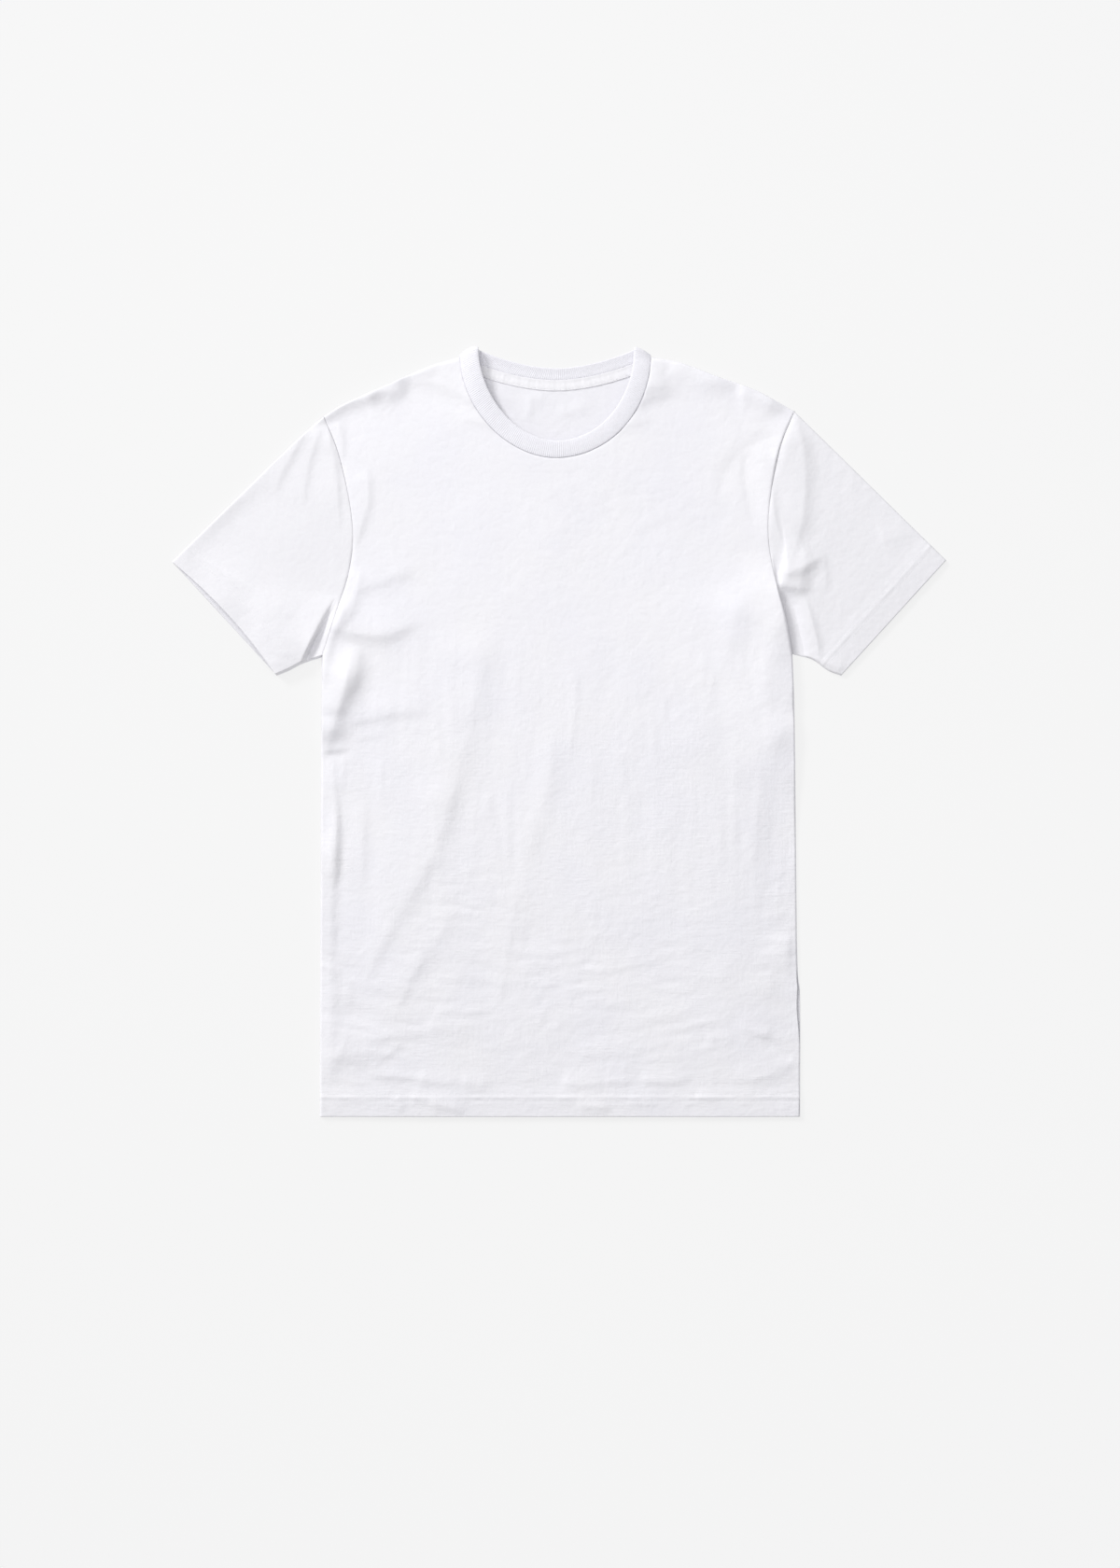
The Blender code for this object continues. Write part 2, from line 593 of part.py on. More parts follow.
def main():
    for made in list(bpy.data.objects):
        bpy.data.objects.remove(made, do_unlink=True)
    jersey = cloth("jersey", WHITE, 0.9)
    rib = cloth("rib", RIB_WHITE, 0.9)
    panels(jersey)
    for side in ("left", "right"):
        sleeve(side, jersey)
    neck_rib(rib)
    neck_tape(jersey)


main()
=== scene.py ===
"""A crew neck T-shirt of white jersey, laid flat on its back on a pale surface.

Each solid of the frame is replaced by a thin shell of cloth on the same form, with finer creases,
turned edges, knit and stitching. Sizes and places are in millimetres, in the frame's axes: +X is to
the right as one looks down on the T-shirt, +Y runs from the hem to the neck and +Z is up.
"""

import math

import bpy
import numpy as np
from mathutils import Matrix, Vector


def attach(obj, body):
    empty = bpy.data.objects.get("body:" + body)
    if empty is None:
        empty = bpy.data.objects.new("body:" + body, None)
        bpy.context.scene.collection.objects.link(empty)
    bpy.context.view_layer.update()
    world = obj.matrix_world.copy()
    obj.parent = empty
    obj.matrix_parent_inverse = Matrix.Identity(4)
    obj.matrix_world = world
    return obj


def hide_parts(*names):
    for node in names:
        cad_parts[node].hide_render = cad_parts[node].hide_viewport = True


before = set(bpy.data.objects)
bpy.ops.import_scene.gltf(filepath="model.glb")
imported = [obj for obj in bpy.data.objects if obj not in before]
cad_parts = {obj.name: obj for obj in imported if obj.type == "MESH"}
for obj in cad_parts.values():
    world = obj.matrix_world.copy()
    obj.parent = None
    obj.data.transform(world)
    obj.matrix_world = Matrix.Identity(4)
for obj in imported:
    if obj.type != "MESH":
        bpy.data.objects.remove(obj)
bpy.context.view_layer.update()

MM = 0.001

# --- Cloth ---
LAYER = 1.1  # height of a solid's layer
GAP = 0.3  # between pieces that meet
JERSEY = 0.8  # wall of the panels and sleeves
RIB = 2.0  # the neck rib, folded double
TAPE = 0.9

BODY_HEM = 17.0  # from the bottom edge to where the turned hem ends
SLEEVE_HEM = 19.0
HEM_THICKER = 0.7  # a turned hem, over a single layer
RIB_WIDTH = 17.0  # laid flat
TAPE_WIDTH = 10.0
TAPE_OVER = 0.25  # how far the tape's upper edge is over the neck seam, under the rib's edge

# --- Outline, seen from above ---
HEM_Y = -360.25
NECK_Y = 351.5  # the shoulder seams' ends at the neck
NECK_X = -3.5  # the neck's middle
NECK_HALF_WIDTH = 89.3

LEFT_ARMPIT = (-222.3, 70.0)
LEFT_CUFF_UNDER = (-264.3, 52.9)
LEFT_CUFF_TOP = (-362.8, 159.7)
LEFT_SHOULDER = (-220.5, 296.0)
LEFT_NECK = (NECK_X - NECK_HALF_WIDTH, NECK_Y)

RIGHT_ARMPIT = (218.8, 73.0)
RIGHT_CUFF_UNDER = (264.3, 52.9)
RIGHT_CUFF_TOP = (362.8, 161.0)
RIGHT_SHOULDER = (220.5, 300.6)
RIGHT_NECK = (NECK_X + NECK_HALF_WIDTH, NECK_Y)

# Each edge is a smooth curve through its points.
OUTLINE = {
    "left": {
        "side_seam": [(-224.0, HEM_Y), (-224.0, -276.0), (-222.7, 4.0), LEFT_ARMPIT],
        "underarm": [LEFT_ARMPIT, (-239.8, 64.3), (-252.9, 57.6), LEFT_CUFF_UNDER],
        "cuff": [LEFT_CUFF_UNDER, LEFT_CUFF_TOP],
        "sleeve_top": [LEFT_CUFF_TOP, (-305.4, 215.9), (-246.0, 273.5), LEFT_SHOULDER],
        "shoulder": [LEFT_SHOULDER, (-200.4, 308.4), (-156.6, 327.7), (-121.6, 343.0), LEFT_NECK],
        "armhole": [LEFT_ARMPIT, (-207.4, 115.9), (-197.8, 145.7), (-193.0, 179.0),
                    (-196.0, 214.0), (-206.5, 260.5), LEFT_SHOULDER],
    },
    "right": {
        "side_seam": [(225.8, HEM_Y), (225.8, -250.0), (223.1, -206.0), (220.9, 4.0), RIGHT_ARMPIT],
        "underarm": [RIGHT_ARMPIT, (237.1, 68.0), (252.0, 57.6), RIGHT_CUFF_UNDER],
        "cuff": [RIGHT_CUFF_UNDER, RIGHT_CUFF_TOP],
        "sleeve_top": [RIGHT_CUFF_TOP, (307.1, 215.7), (263.4, 258.6), RIGHT_SHOULDER],
        "shoulder": [RIGHT_SHOULDER, (184.6, 320.5), (149.6, 333.0), (114.6, 346.1), RIGHT_NECK],
        "armhole": [RIGHT_ARMPIT, (212.6, 107.0), (203.0, 139.6), (196.0, 179.0),
                    (196.9, 214.0), (206.5, 264.7), RIGHT_SHOULDER],
    },
}

# Where the upper layer's edge lies inside the lower one's
CUFF_DRAWN_IN = {"left": 5.3, "right": 0.0}  # at the middle of the cuff
SIDE_DRAWN_IN = [  # right side seam
    # middle y, half length, distance
    (-256.0, 30.0, 3.4),
    (-352.0, 14.0, 1.2),
]

# --- Neck ---
FRONT_DEPTH = 95.0  # from the shoulder seams' ends down to the rib's seam
BACK_DEPTH = 22.0
BACK_SHAPE = 1.8  # power of the back neck's curve
NECK_FULLNESS = {"left": 1.86, "right": 2.0}  # power of the front neck's half ellipses

FREE_X = -2.6  # the rib's free edge: its middle, and its place at the shoulders
FREE_Y = 358.0
FREE_HALF_WIDTH = 72.6
FREE_FRONT_DEPTH = 85.4
FREE_BACK_DEPTH = 17.2

RIB_SEAM_HEIGHT = {"front_fold": 2.5, "back": 1.45}
SEAM_EVENED = 9  # stations to each side over which the front seam's height is averaged
FREE_HEIGHT = {"front": 6.6, "back_fold": 2.4, "back": 2.7}
FREE_POWER = {"front": 4, "back": 2.5}  # how late the free edge nears its height at the shoulders
FREE_OVER_SEAM = 1.0  # how much higher the front's free edge is than its seam, at least
FOLD_TOP = {"left": 13.5, "right": 8.6}  # at the shoulders, where the band turns over
RIB_TURN = 2.2  # how far it reaches out at most where it turns over at a shoulder
RIB_CROWN = 0.5  # how far the band bulges between its two edges
RIB_ARCH = 0.25  # and how much more for each mm that it rises by more than RIB_LEVEL
RIB_LEVEL = 2.5
RIB_PITCH = 1.75  # from one raised wale to the next
RIB_RELIEF = 0.16
RIB_EDGE_RELIEF = 0.3  # part of it that is left at the band's two edges
RIB_SECTION = [
    # part of the way from seam to free edge, side
    (0.0, -0.55), (0.0, 0.55), (0.03, 0.86), (0.08, 1.0), (0.2, 1.0), (0.35, 1.0), (0.5, 1.0),
    (0.65, 1.0), (0.8, 1.0), (0.9, 0.97), (0.95, 0.84), (0.985, 0.5), (1.0, 0.0), (0.985, -0.5),
    (0.95, -0.84), (0.9, -0.97), (0.7, -1.0), (0.5, -1.0), (0.3, -1.0), (0.1, -1.0),
]

TAPE_SECTION = [
    # from its upper edge, part of its height
    (0.0, 0.0), (0.0, 0.85), (0.15, 1.0), (0.6, 1.0),
    *((depth, 1.0) for depth in np.linspace(1.4, 8.6, 12)),
    (TAPE_WIDTH - 0.6, 1.0), (TAPE_WIDTH - 0.2, 0.9), (TAPE_WIDTH, 0.6), (TAPE_WIDTH, 0.0),
]
TAPE_TO = 0.9  # part of the back neck's half width that it covers
TAPE_SPINE, TAPE_SPINE_WIDTH = 0.4, 3.5  # how much higher it is at the seam, and how far in
TAPE_WAVES = [(0.10, 96.0), (0.06, 221.0)]  # height, radians from end to end
TAPE_ROW = 8.4  # its row of stitching, from its upper edge
TAPE_GROOVE, TAPE_GROOVE_WIDTH = 0.3, 0.45

# --- Height of the upper layer's outer face ---
EDGE_TOP = 2 * LAYER + GAP  # beside the closed edges
LOWEST = EDGE_TOP - 0.2  # in a groove
ROLL_RISE, ROLL_WIDTH = 1.3, 1.9  # the soft turn beside a closed edge
LOFT, LOFT_WIDTH = 1.9, 70.0  # the air between the layers further in
NECK_LIFT, NECK_REACH = 1.3, 45.0
NECK_MARGIN = 4.0  # the lift round the neck dies out this near a closed edge
HEM_PRESS, HEM_REACH = 0.5, 40.0  # how much flatter it lies at a hem, and how far in
HEM_LIFT = 2 * HEM_THICKER  # both layers are thicker in the hem
HEM_SLOPE = 14.0
FOLD_MARGIN = 1.6  # folds die out this near a closed edge
FOLD_PRESS = 0.35  # how much flatter the folds are at a hem
SOFTEST = 0.8  # rounds off where a trough reaches the lower layer

TURN = 1.0  # how far in from an edge the cloth starts to turn under
LOWER_TURN = JERSEY / 2  # how far the lower layer turns up at an open edge
BACK_LIFT = (LAYER - JERSEY) / 2  # the back panel's inner face, over its wall
INSIDE_DEEPEST = 0.1  # trough in that face
NECK_GROOVE = [(0.0, 0.4, 1.0)]  # like the rows below, the same all along the neck
ARMHOLE_GROOVES = {
    # part of the way up from the armpit, depth, width on the side away from the light
    "left": [
        (0.0, 0.0, 2.0),
        (0.17, 0.1, 2.0),
        (0.24, 0.9, 2.2),
        (0.44, 0.9, 2.2),
        (0.5, 0.35, 1.5),
        (0.7, 0.3, 1.5),
        (0.8, 0.5, 2.0),
        (0.94, 0.55, 2.2),
        (1.0, 0.4, 2.0),
    ],
    "right": [
        (0.0, 6.0, 7.0),
        (0.14, 6.0, 7.5),
        (0.19, 4.4, 7.0),
        (0.25, 0.4, 1.6),
        (0.52, 0.3, 1.5),
        (0.6, 0.6, 2.0),
        (0.72, 1.4, 3.0),
        (0.94, 1.5, 3.0),
        (1.0, 0.5, 2.0),
    ],
}
GROOVE_NEAR = 0.9  # width of a groove on the side towards the light

STITCH_ROWS = (-1.3, 4.3)  # two rows of stitching in a hem, from the turned hem's inner edge
HEM_WAVES = [(0.3, 11.0, 0.0), (0.3, 4.7, 2.0)]  # strength, length of a radian, radians at its start
STITCH_GROOVE, STITCH_GROOVE_WIDTH = 0.3, 1.25
HEM_RIDGE, HEM_RIDGE_WIDTH = 0.3, 1.7
HEM_CLEAR = {"bottom": 0.9, "left": 0.12, "right": 0.55}  # how clearly each hem shows

# Ridges and troughs. Each path starts at its fold's strong end. The widths are to the left and to
# the right of the way that it runs.
FOLDS = [
    # smooth path, width to the left, width to the right, height
    # the long drape from the chest to the left hip
    ([(-62, 100), (-68, 78), (-75, 54), (-81, 26), (-88, -4), (-95, -32), (-101, -60),
      (-106, -88), (-115, -116)], 9, 15, 2.35),
    ([(-97, -26), (-103, -56), (-111, -88), (-122, -118), (-136, -145), (-153, -173),
      (-169, -201), (-183, -234)], 7, 10, 1.95),
    ([(-153, -262), (-145, -245), (-137, -228), (-128, -212), (-114, -191), (-98, -164),
      (-90, -146)], 9, 7, 1.15),
    ([(-153, -264), (-146, -248), (-138, -231), (-129, -213), (-120, -198)], 4, 3, 0.5),
    ([(-150, -176), (-162, -196), (-172, -216), (-178, -236)], 4, 4, 0.9),
    # the deep crease by the left side
    ([(-217, -21), (-214.5, -2), (-210, 13), (-205.5, 27), (-201, 42), (-198, 56), (-196.5, 72),
      (-196, 88), (-194, 106)], 22, 9.5, 6.0),
    ([(-210, 10), (-206, 27), (-201.5, 42), (-198.5, 58), (-196.5, 76)], 9, 6, 3.4),
    ([(-219, -25), (-216.5, -9), (-213, 7), (-207, 24)], 12, 4, 1.0),
    ([(-222, -19), (-214, -18), (-204, -17.5), (-194, -17)], 3, 1.6, 1.6),
    ([(-187, 84), (-188, 70), (-189.5, 54), (-195, 38), (-202, 24)], 4, 3.4, 1.6),
    ([(-198, 132), (-204, 112), (-208, 100), (-212.5, 88), (-216.5, 74), (-218.5, 60),
      (-219.5, 48), (-222, 34)], 3.2, 8, 1.9),
    # creases that run in from the left side
    ([(-222, 106), (-206, 98), (-194, 95), (-180, 92.5), (-165, 92), (-147, 97),
      (-126, 106)], 9, 6.2, 5.0),
    ([(-194, 131), (-180, 137), (-167, 141.5), (-155, 147), (-142, 150), (-128, 155)], 7, 5, 2.0),
    ([(-187, 156), (-188.5, 140), (-190.5, 126), (-195, 113), (-203, 100), (-210, 92)], 3.2, 5, 1.5),
    ([(-204, 8), (-190, 10.5), (-170, 13.5), (-150, 18), (-130, 18.5), (-112, 20)], 6, 5, 1.6),
    ([(-188, -8), (-176, -5), (-166, -3), (-154, 1)], 3, 3, 0.6),
    ([(-140, 0), (-126, 2.5), (-112, 3)], 2, 2, 0.3),
    # down the left side
    ([(-212, -22), (-210.5, -50), (-209, -80), (-210, -112), (-213, -156)], 3.4, 8, 2.0),
    ([(-214, -90), (-213, -134), (-213.5, -182), (-214, -232)], 3.4, 8, 1.7),
    ([(-213, -332), (-214, -300), (-213.5, -268), (-213, -232), (-212.5, -190)], 3, 7, 2.2),
    ([(-208.5, -146), (-208, -120), (-207.5, -90), (-207.5, -50)], 3, 2.4, 1.7),
    ([(-202, -22), (-201.5, -44), (-202, -66)], 2, 2, 0.8),
    ([(-209.5, -176), (-209.5, -196), (-209, -212)], 2, 2, 0.8),
    ([(-181, -62), (-183, -92), (-184, -120), (-186, -150)], 3.5, 4, 1.1),
    ([(-166, -24), (-166, -48), (-167, -72)], 2, 2, 0.5),
    ([(-196, -226), (-197, -246), (-199, -268)], 2.6, 2.6, 0.7),
    # long thin pulls across the belly
    ([(-7, 10), (-10, -26), (-15, -62), (-20, -92), (-27, -118), (-36, -142)], 7, 6, 0.9),
    ([(-36, -124), (-42, -160), (-48, -200), (-54, -250)], 4, 4.5, 0.6),
    ([(-56, -253), (-54, -240), (-52, -228)], 2.4, 2.4, 0.5),
    ([(15, 70), (14, 42), (12, 14), (9, -14), (6, -42)], 4, 4, 0.8),
    ([(33, -18), (32, -48), (31, -78)], 3, 3, 0.35),
    ([(-67, -56), (-69, -76), (-71, -94)], 3, 3, 0.4),
    ([(-77, -96), (-82, -124), (-89, -150)], 3.4, 3.6, 0.45),
    ([(-25, -178), (-28, -192), (-31, -208)], 3, 3.5, -0.5),
    ([(-20, -280), (-17, -266), (-14, -254)], 2.4, 2.4, 0.4),
    ([(-24, -76), (-27, -104), (-34, -120)], 4, 4.5, 0.4),
    ([(0, -52), (0, -70), (-2, -92)], 4, 4, -0.2),
    ([(60, -14), (59, -40), (57, -66)], 4, 4, 0.4),
    ([(78, -52), (78, -84), (74, -112), (72, -140)], 4, 4, -0.5),
    ([(107, -44), (108, -72), (108, -108)], 4.5, 5, 0.6),
    ([(113, 66), (113, 42), (112, 22)], 4, 4, -0.3),
    ([(140, -4), (141, -24), (141, -40)], 4, 4, 0.4),
    # the right side
    ([(191, 30), (190, 8), (192, -16)], 4, 4.5, -0.5),
    ([(203, -20), (203, -56), (201, -90), (197, -122), (193, -150), (187, -184)], 7, 4, -0.8),
    ([(184, -36), (184, -66), (183, -104), (181, -140)], 2.6, 2.6, 0.6),
    ([(215, -186), (214.5, -204), (214, -230)], 3.4, 6, 1.8),
    ([(198, -222), (199, -236), (201, -252)], 3.4, 6, 1.0),
    ([(194, 80), (164, 84), (136, 88)], 6, 6, 0.6),
    ([(191, 98), (182, 106), (165, 114), (148, 116)], 4, 4, 0.6),
    # arcs beside the right armhole
    ([(211, 278), (188, 272), (168, 260), (157, 244), (152, 226), (149, 204)], 8, 4.5, -1.3),
    ([(175, 265), (175, 242), (177, 222), (181, 202), (184, 180)], 6, 3.2, -1.3),
    ([(197, 272), (197, 252), (195, 236)], 3, 3, -0.4),
    # beside the left armhole
    ([(-180, 250), (-178.5, 220), (-183, 200), (-189, 180), (-193, 164)], 3, 7, 1.6),
    ([(-208, 294), (-204, 272), (-202, 250)], 2.4, 6, 1.2),
    # shoulders
    ([(-232, 286), (-214, 299.5), (-200, 308), (-186, 312.5), (-172, 317.5),
      (-158, 321)], 24, 4.4, 3.8),
    ([(-186, 314), (-176, 317), (-166, 320.5), (-152, 320.5), (-136, 320)], 24, 6.5, 5.2),
    ([(-160, 327), (-142, 334.5), (-124, 341), (-108, 346)], 16, 8, 3.2),
    ([(-66, 306), (-78, 311), (-88, 315), (-100, 321), (-113, 325.5), (-128, 328),
      (-144, 329)], 4.5, 26, 2.8),
    ([(-58, 284), (-72, 289.5), (-84, 293), (-100, 297)], 3.4, 5, 1.2),
    ([(-84, 358), (-85, 340), (-82, 322), (-76, 306)], 6, 12, -1.3),
    ([(98, 340), (110, 337.5), (122, 335), (136, 330), (150, 328), (164, 328.5),
      (184, 330)], 12, 9, 2.7),
    ([(164, 318), (180, 315), (192, 309.5), (204, 304), (216, 299)], 12, 6.5, 3.3),
    ([(60, 312), (72, 318), (84, 323.5), (98, 325), (114, 322)], 16, 4, 1.6),
    ([(52, 294), (66, 304), (76, 310), (87, 315), (100, 318), (116, 319)], 16, 4, 2.0),
    ([(44, 284), (60, 288.5), (72, 291), (90, 292)], 4, 3.4, 1.3),
    ([(80, 356), (82, 338), (79, 322), (74, 306)], 16, 6, 0.8),
    ([(60, 286), (59, 262), (57, 242)], 4, 4, -0.35),
    # left sleeve
    ([(-359, 159), (-343, 176.5), (-322, 197.5), (-295, 222.5), (-265, 250)], 3, 6, 1.9),
    ([(-236, 287), (-246, 269), (-255, 252), (-264, 235), (-269, 216)], 3.4, 11, 1.9),
    ([(-224, 291), (-229, 272), (-235, 250), (-239, 226), (-240, 206)], 3, 9, 1.7),
    ([(-219, 292), (-215, 270), (-209.5, 247), (-207.5, 224), (-206, 200), (-204, 180)], 2.4, 8, 1.5),
    ([(-351, 184), (-348, 168), (-347, 148)], 3, 2.4, 1.0),
    ([(-273, 8), (-255, 42), (-245, 60), (-238.5, 73), (-230.5, 87), (-223, 99), (-215.5, 113),
      (-206, 132)], 40, 1.5, 8.0),
    ([(-243, 58), (-237.5, 68), (-229.7, 83), (-221.3, 100), (-213.5, 118),
      (-208, 130)], 1.4, 1.1, -4.0),
    ([(-284, 100), (-276, 88), (-268, 74)], 3, 3, 0.6),
    # right sleeve
    ([(219, 304), (223, 284), (227.5, 264), (230, 242), (229.5, 222), (227, 200), (223, 184),
      (217, 166), (213, 150), (211, 138)], 5.5, 14, 3.0),
    ([(206, 272), (201.5, 248), (200, 222), (202.5, 198), (207.5, 178), (212, 165)], 2.6, 9, 1.7),
    ([(205, 150), (216, 150), (228, 154), (240, 161), (250, 170)], 8, 5, 3.6),
    ([(202, 139), (214, 137), (226, 135), (240, 133)], 7, 4, 3.4),
    ([(199, 174), (200.5, 154), (204, 133), (209, 117), (212.5, 102), (215.5, 84), (218.5, 62),
      (220, 20), (221, -30), (221, -110)], 1.8, 22, 8.0),
    ([(226, 60), (222, 76), (218.5, 92), (216, 108), (213, 126), (209, 140)], 2.5, 4, -4.0),
    ([(243, 62), (241, 84), (237.5, 100), (233, 118), (228, 134)], 9, 3, 2.3),
    ([(248, 168), (250, 148), (251, 128)], 2.6, 2.4, 0.8),
    ([(298, 177), (311, 182), (322, 187), (336, 191)], 5, 4.5, 0.8),
    ([(268, 57), (258, 61), (247, 66), (234, 71)], 2.4, 2.0, 1.6),
    # slack above the bottom hem
    ([(-212, -284), (-196, -287), (-180, -287.5), (-166, -286), (-148, -283)], 3, 4.4, 1.3),
    ([(-214, -296), (-199, -301), (-182, -302), (-160, -305)], 3.4, 6, 1.8),
    ([(-143, -287), (-160, -301), (-171, -311), (-178, -324)], 2.4, 3, 0.7),
    ([(-184, -320), (-160, -321.5), (-130, -322.5), (-108, -323)], 3, 2, 1.0),
    ([(-136, -324.5), (-118, -326.5), (-98, -326.5), (-78, -325)], 3, 4, 1.6),
    ([(-94, -327), (-78, -328.5), (-58, -327)], 2.6, 4, 1.5),
    ([(0, -327), (18, -328.5), (34, -328.5), (54, -327)], 2.4, 4, 1.3),
    ([(42, -326.5), (56, -328), (72, -327)], 3, 2.6, 0.9),
    ([(72, -325), (90, -327), (106, -327), (128, -325)], 3.4, 3, 1.4),
    ([(222, -304), (206, -316), (190, -321.5), (172, -323), (150, -322)], 5, 4, 1.1),
    ([(220, -308), (208, -298), (197, -290), (184, -283)], 2, 2, -1.0),
    ([(202, -286), (185, -280), (172, -277), (158, -275)], 2.8, 3, 1.0),
    ([(136, -288), (152, -286.5), (172, -288)], 3, 4, 0.6),
    ([(-118, -258), (-104, -261), (-86, -261), (-58, -259)], 2.4, 5, 1.0),
    ([(-126, -272), (-108, -275), (-90, -275), (-66, -273)], 2.4, 5.5, 1.1),
    ([(-139, -246), (-120, -248.5), (-104, -249), (-88, -250)], 2, 2, 0.7),
    ([(-122, -231), (-104, -232), (-84, -230)], 2, 2.4, 0.6),
    # ripples across the lower front
    ([(24, -229), (58, -221.5), (88, -215.5), (128, -209)], 2.6, 2.2, 0.45),
    ([(30, -244), (66, -238), (108, -232)], 2.6, 2.2, 0.3),
    ([(14, -259), (50, -254), (94, -250)], 2.6, 2.2, 0.35),
    ([(-6, -194), (10, -193), (26, -194)], 3.5, 3.5, 0.4),
    ([(10, -301), (30, -301), (52, -299), (86, -300)], 3, 3, 0.6),
    ([(120, -234), (146, -229), (166, -231)], 4, 4, 0.4),
    # in the bottom hem
    ([(-150, -339), (-148, -348), (-147, -359)], 3, 2.4, 1.1),
    ([(-140, -342.5), (-124, -344), (-108, -346.5)], 2, 3.2, 1.1),
    ([(-122, -347), (-104, -349), (-82, -353)], 2.4, 4.4, 2.2),
    ([(-4, -343), (12, -343), (26, -344)], 2, 3.4, 0.8),
    ([(14, -348), (32, -350), (52, -352)], 2.4, 4.4, 2.1),
    ([(62, -345.5), (78, -347), (94, -347)], 2, 3.2, 1.0),
    ([(126, -342.5), (140, -343.5), (156, -343)], 2, 2.8, 0.9),
    ([(-214, -345), (-196, -344), (-180, -346)], 2.4, 3, 0.6),
]
FADE_IN, FADE_OUT = 0.2, 0.42  # parts of a fold's length over which its two ends die out
SLACK_SIDE = (-1.0, 0.95)  # the flank of each fold on this side is wider
LEAN = 2.1  # by this factor
CREST_FALL, CREST_ROUND, CREST_POWER = 0.75, 0.35, 0.7  # a fold's section, from its top to its foot
THINNEST = 0.6  # part of its width that a fold has left at its ends
FOLD_STEPS = 6  # of a path's curve, between two of its points
FOLD_REACH = 5  # widths over which a fold is worked out
BEND, BEND_CELL, BEND_SEEDS = 1.3, 30.0, (21, 22)  # how far the folds wander from their paths
SWING, SWING_CELL, SWING_SEED = 0.3, 20.0, 23  # how much their strength changes along them

CRUMPLES = [
    # cell across, cell along, height, seed, lowest y, highest y, over how much it fades in
    (20.0, 4.4, 0.10, 3, -400.0, -130.0, 130.0),  # ripples that run across the lower body
    (11.0, 3.4, 0.10, 13, -400.0, -40.0, 180.0),
    (16.0, 16.0, 0.07, 5, -400.0, 400.0, 1.0),
    (5.0, 5.0, 0.04, 17, -400.0, 400.0, 1.0),
    (4.4, 22.0, 0.08, 7, -200.0, 110.0, 60.0),  # faint upright pulls
    (12.0, 60.0, 0.12, 19, -260.0, 130.0, 80.0),
    (60.0, 60.0, 0.25, 11, -400.0, 400.0, 1.0),
]
CRUMPLE_REACH = 420.0  # how far from the origin the crumpling goes
PATCHY, PATCH_CELL = 1.2, 34.0  # how uneven it is from place to place
PATCH_SEED = 50  # over the crumpling's own
RIPPLE_SAG = 0.0005  # how much the ripples curve up towards the sides

INSIDE_FOLDS = [  # on the back panel, where it shows in the neck
    ([(-23, 320), (-25.5, 305), (-30, 286)], 2.2, 2.6, 0.9),
    ([(-17, 319), (-16, 311), (-16, 304)], 2, 2, 0.6),
    ([(-2, 301), (14, 300.5), (36, 302)], 2, 2.4, 0.7),
    ([(14, 307), (24, 306.5), (36, 307)], 2, 2, 0.5),
    ([(-60, 318), (-50, 312), (-40, 302)], 3, 4, 0.6),
]
UNDER_FOLDS = [  # shallow troughs in the underside
    ([(-150, 120), (-120, 20), (-150, -120)], 9, 7, 0.55),
    ([(-60, 200), (-40, 90), (-70, -40)], 8, 8, 0.5),
    ([(60, 160), (90, 20), (60, -140)], 8, 10, 0.55),
    ([(150, 60), (170, -60), (140, -220)], 9, 7, 0.5),
    ([(-180, -180), (-90, -210), (0, -200)], 6, 8, 0.45),
    ([(40, -250), (120, -262), (190, -240)], 7, 6, 0.45),
    ([(-120, 290), (-60, 262), (40, 270)], 8, 7, 0.4),
    ([(-10, 20), (-30, -90), (-20, -180)], 6, 6, 0.4),
]

# --- Grid lines ---
EDGE_STEPS = [0.0, 0.08, 0.3, 0.65, 1.05, 1.5, 2.1, 2.9, 3.9]  # in from an edge
NECK_PART = (0.24, 0.76)  # parts of the chest's width below the neck seam's two ends
CHEST = 441.0  # widths, for turning steps into parts
ARMHOLE = 240.0
FINE = 1.95  # between grid lines
HEM_FINE = 0.95
HEM_FINE_PAST = 9.0  # how far past a hem its finer lines go
BACK_STEP = 3.1  # the back panel's, on both its faces
INNER_STEP = 5  # the inner face has every fifth line
NECK_STATIONS = 240
NEAR_STEP, LIFT_STEP = 3, 6  # stations that the groove and the lift round the neck take as one
RIB_ENDS = 3  # stations of the front neck that the rib's turn takes at each shoulder
RIB_BACK_TO = 0.94  # part of the back neck's half width where the rib's back half ends
RIB_SMOOTHED = 6  # how often its points are averaged with their neighbours
TURN_STATIONS = 13
POINTS_PER_WALE = 6
TAPE_STATIONS = 260

# --- Stitching ---
STITCH = 3.0  # from one stitch to the next
STITCH_LONG = 2.5
STITCH_ARCH, STITCH_SUNK = 0.16, 0.05
THREAD = 0.17  # radius
THREAD_TAPER = np.array([0.45, 0.9, 1.0, 0.9, 0.45])  # along a stitch
THREAD_SIDES = 6
HEM_INSET = 3.0  # from a side seam to the hem's first stitch
CUFF_INSET = 0.02  # part of the cuff's width
TAPE_ROW_TO = 0.88  # part of the back neck's half width
TAPE_ROW_SUNK = 0.15
HEM_ROW_STATIONS, ROW_STATIONS = 400, 200

# --- Looks ---
WHITE = (0.897, 0.889, 0.919)
COOL_WHITE = (0.882, 0.875, 0.917)
# darker than the body's white: painted shade on the rib, which is the same white cotton
RIB_PAINTED_SHADE_WHITE = (0.855, 0.848, 0.895)
# darker than the body's white: painted shade on the inner faces, where the inside shows in the neck
INSIDE_PAINTED_SHADE_WHITE = (0.870, 0.863, 0.902)
# darker than the body's white: painted shade on the sleeves, which are the same jersey
SLEEVE_PAINTED_SHADE_WHITE = (0.866, 0.859, 0.890)
THREAD_WHITE = (0.90, 0.90, 0.92)
WHITE_PATCH, WHITE_DETAIL = 14.0, 3.0  # patches of a white in a metre
WHITE_SPAN = (0.35, 0.65)  # from one white to the other
COTTON = {
    "Roughness": 0.92,
    "Specular IOR Level": 0.25,
    "Sheen Weight": 0.12,
    "Sheen Roughness": 0.5,
}
THREAD_TWIST = 0.4  # from one turn of the thread to the next

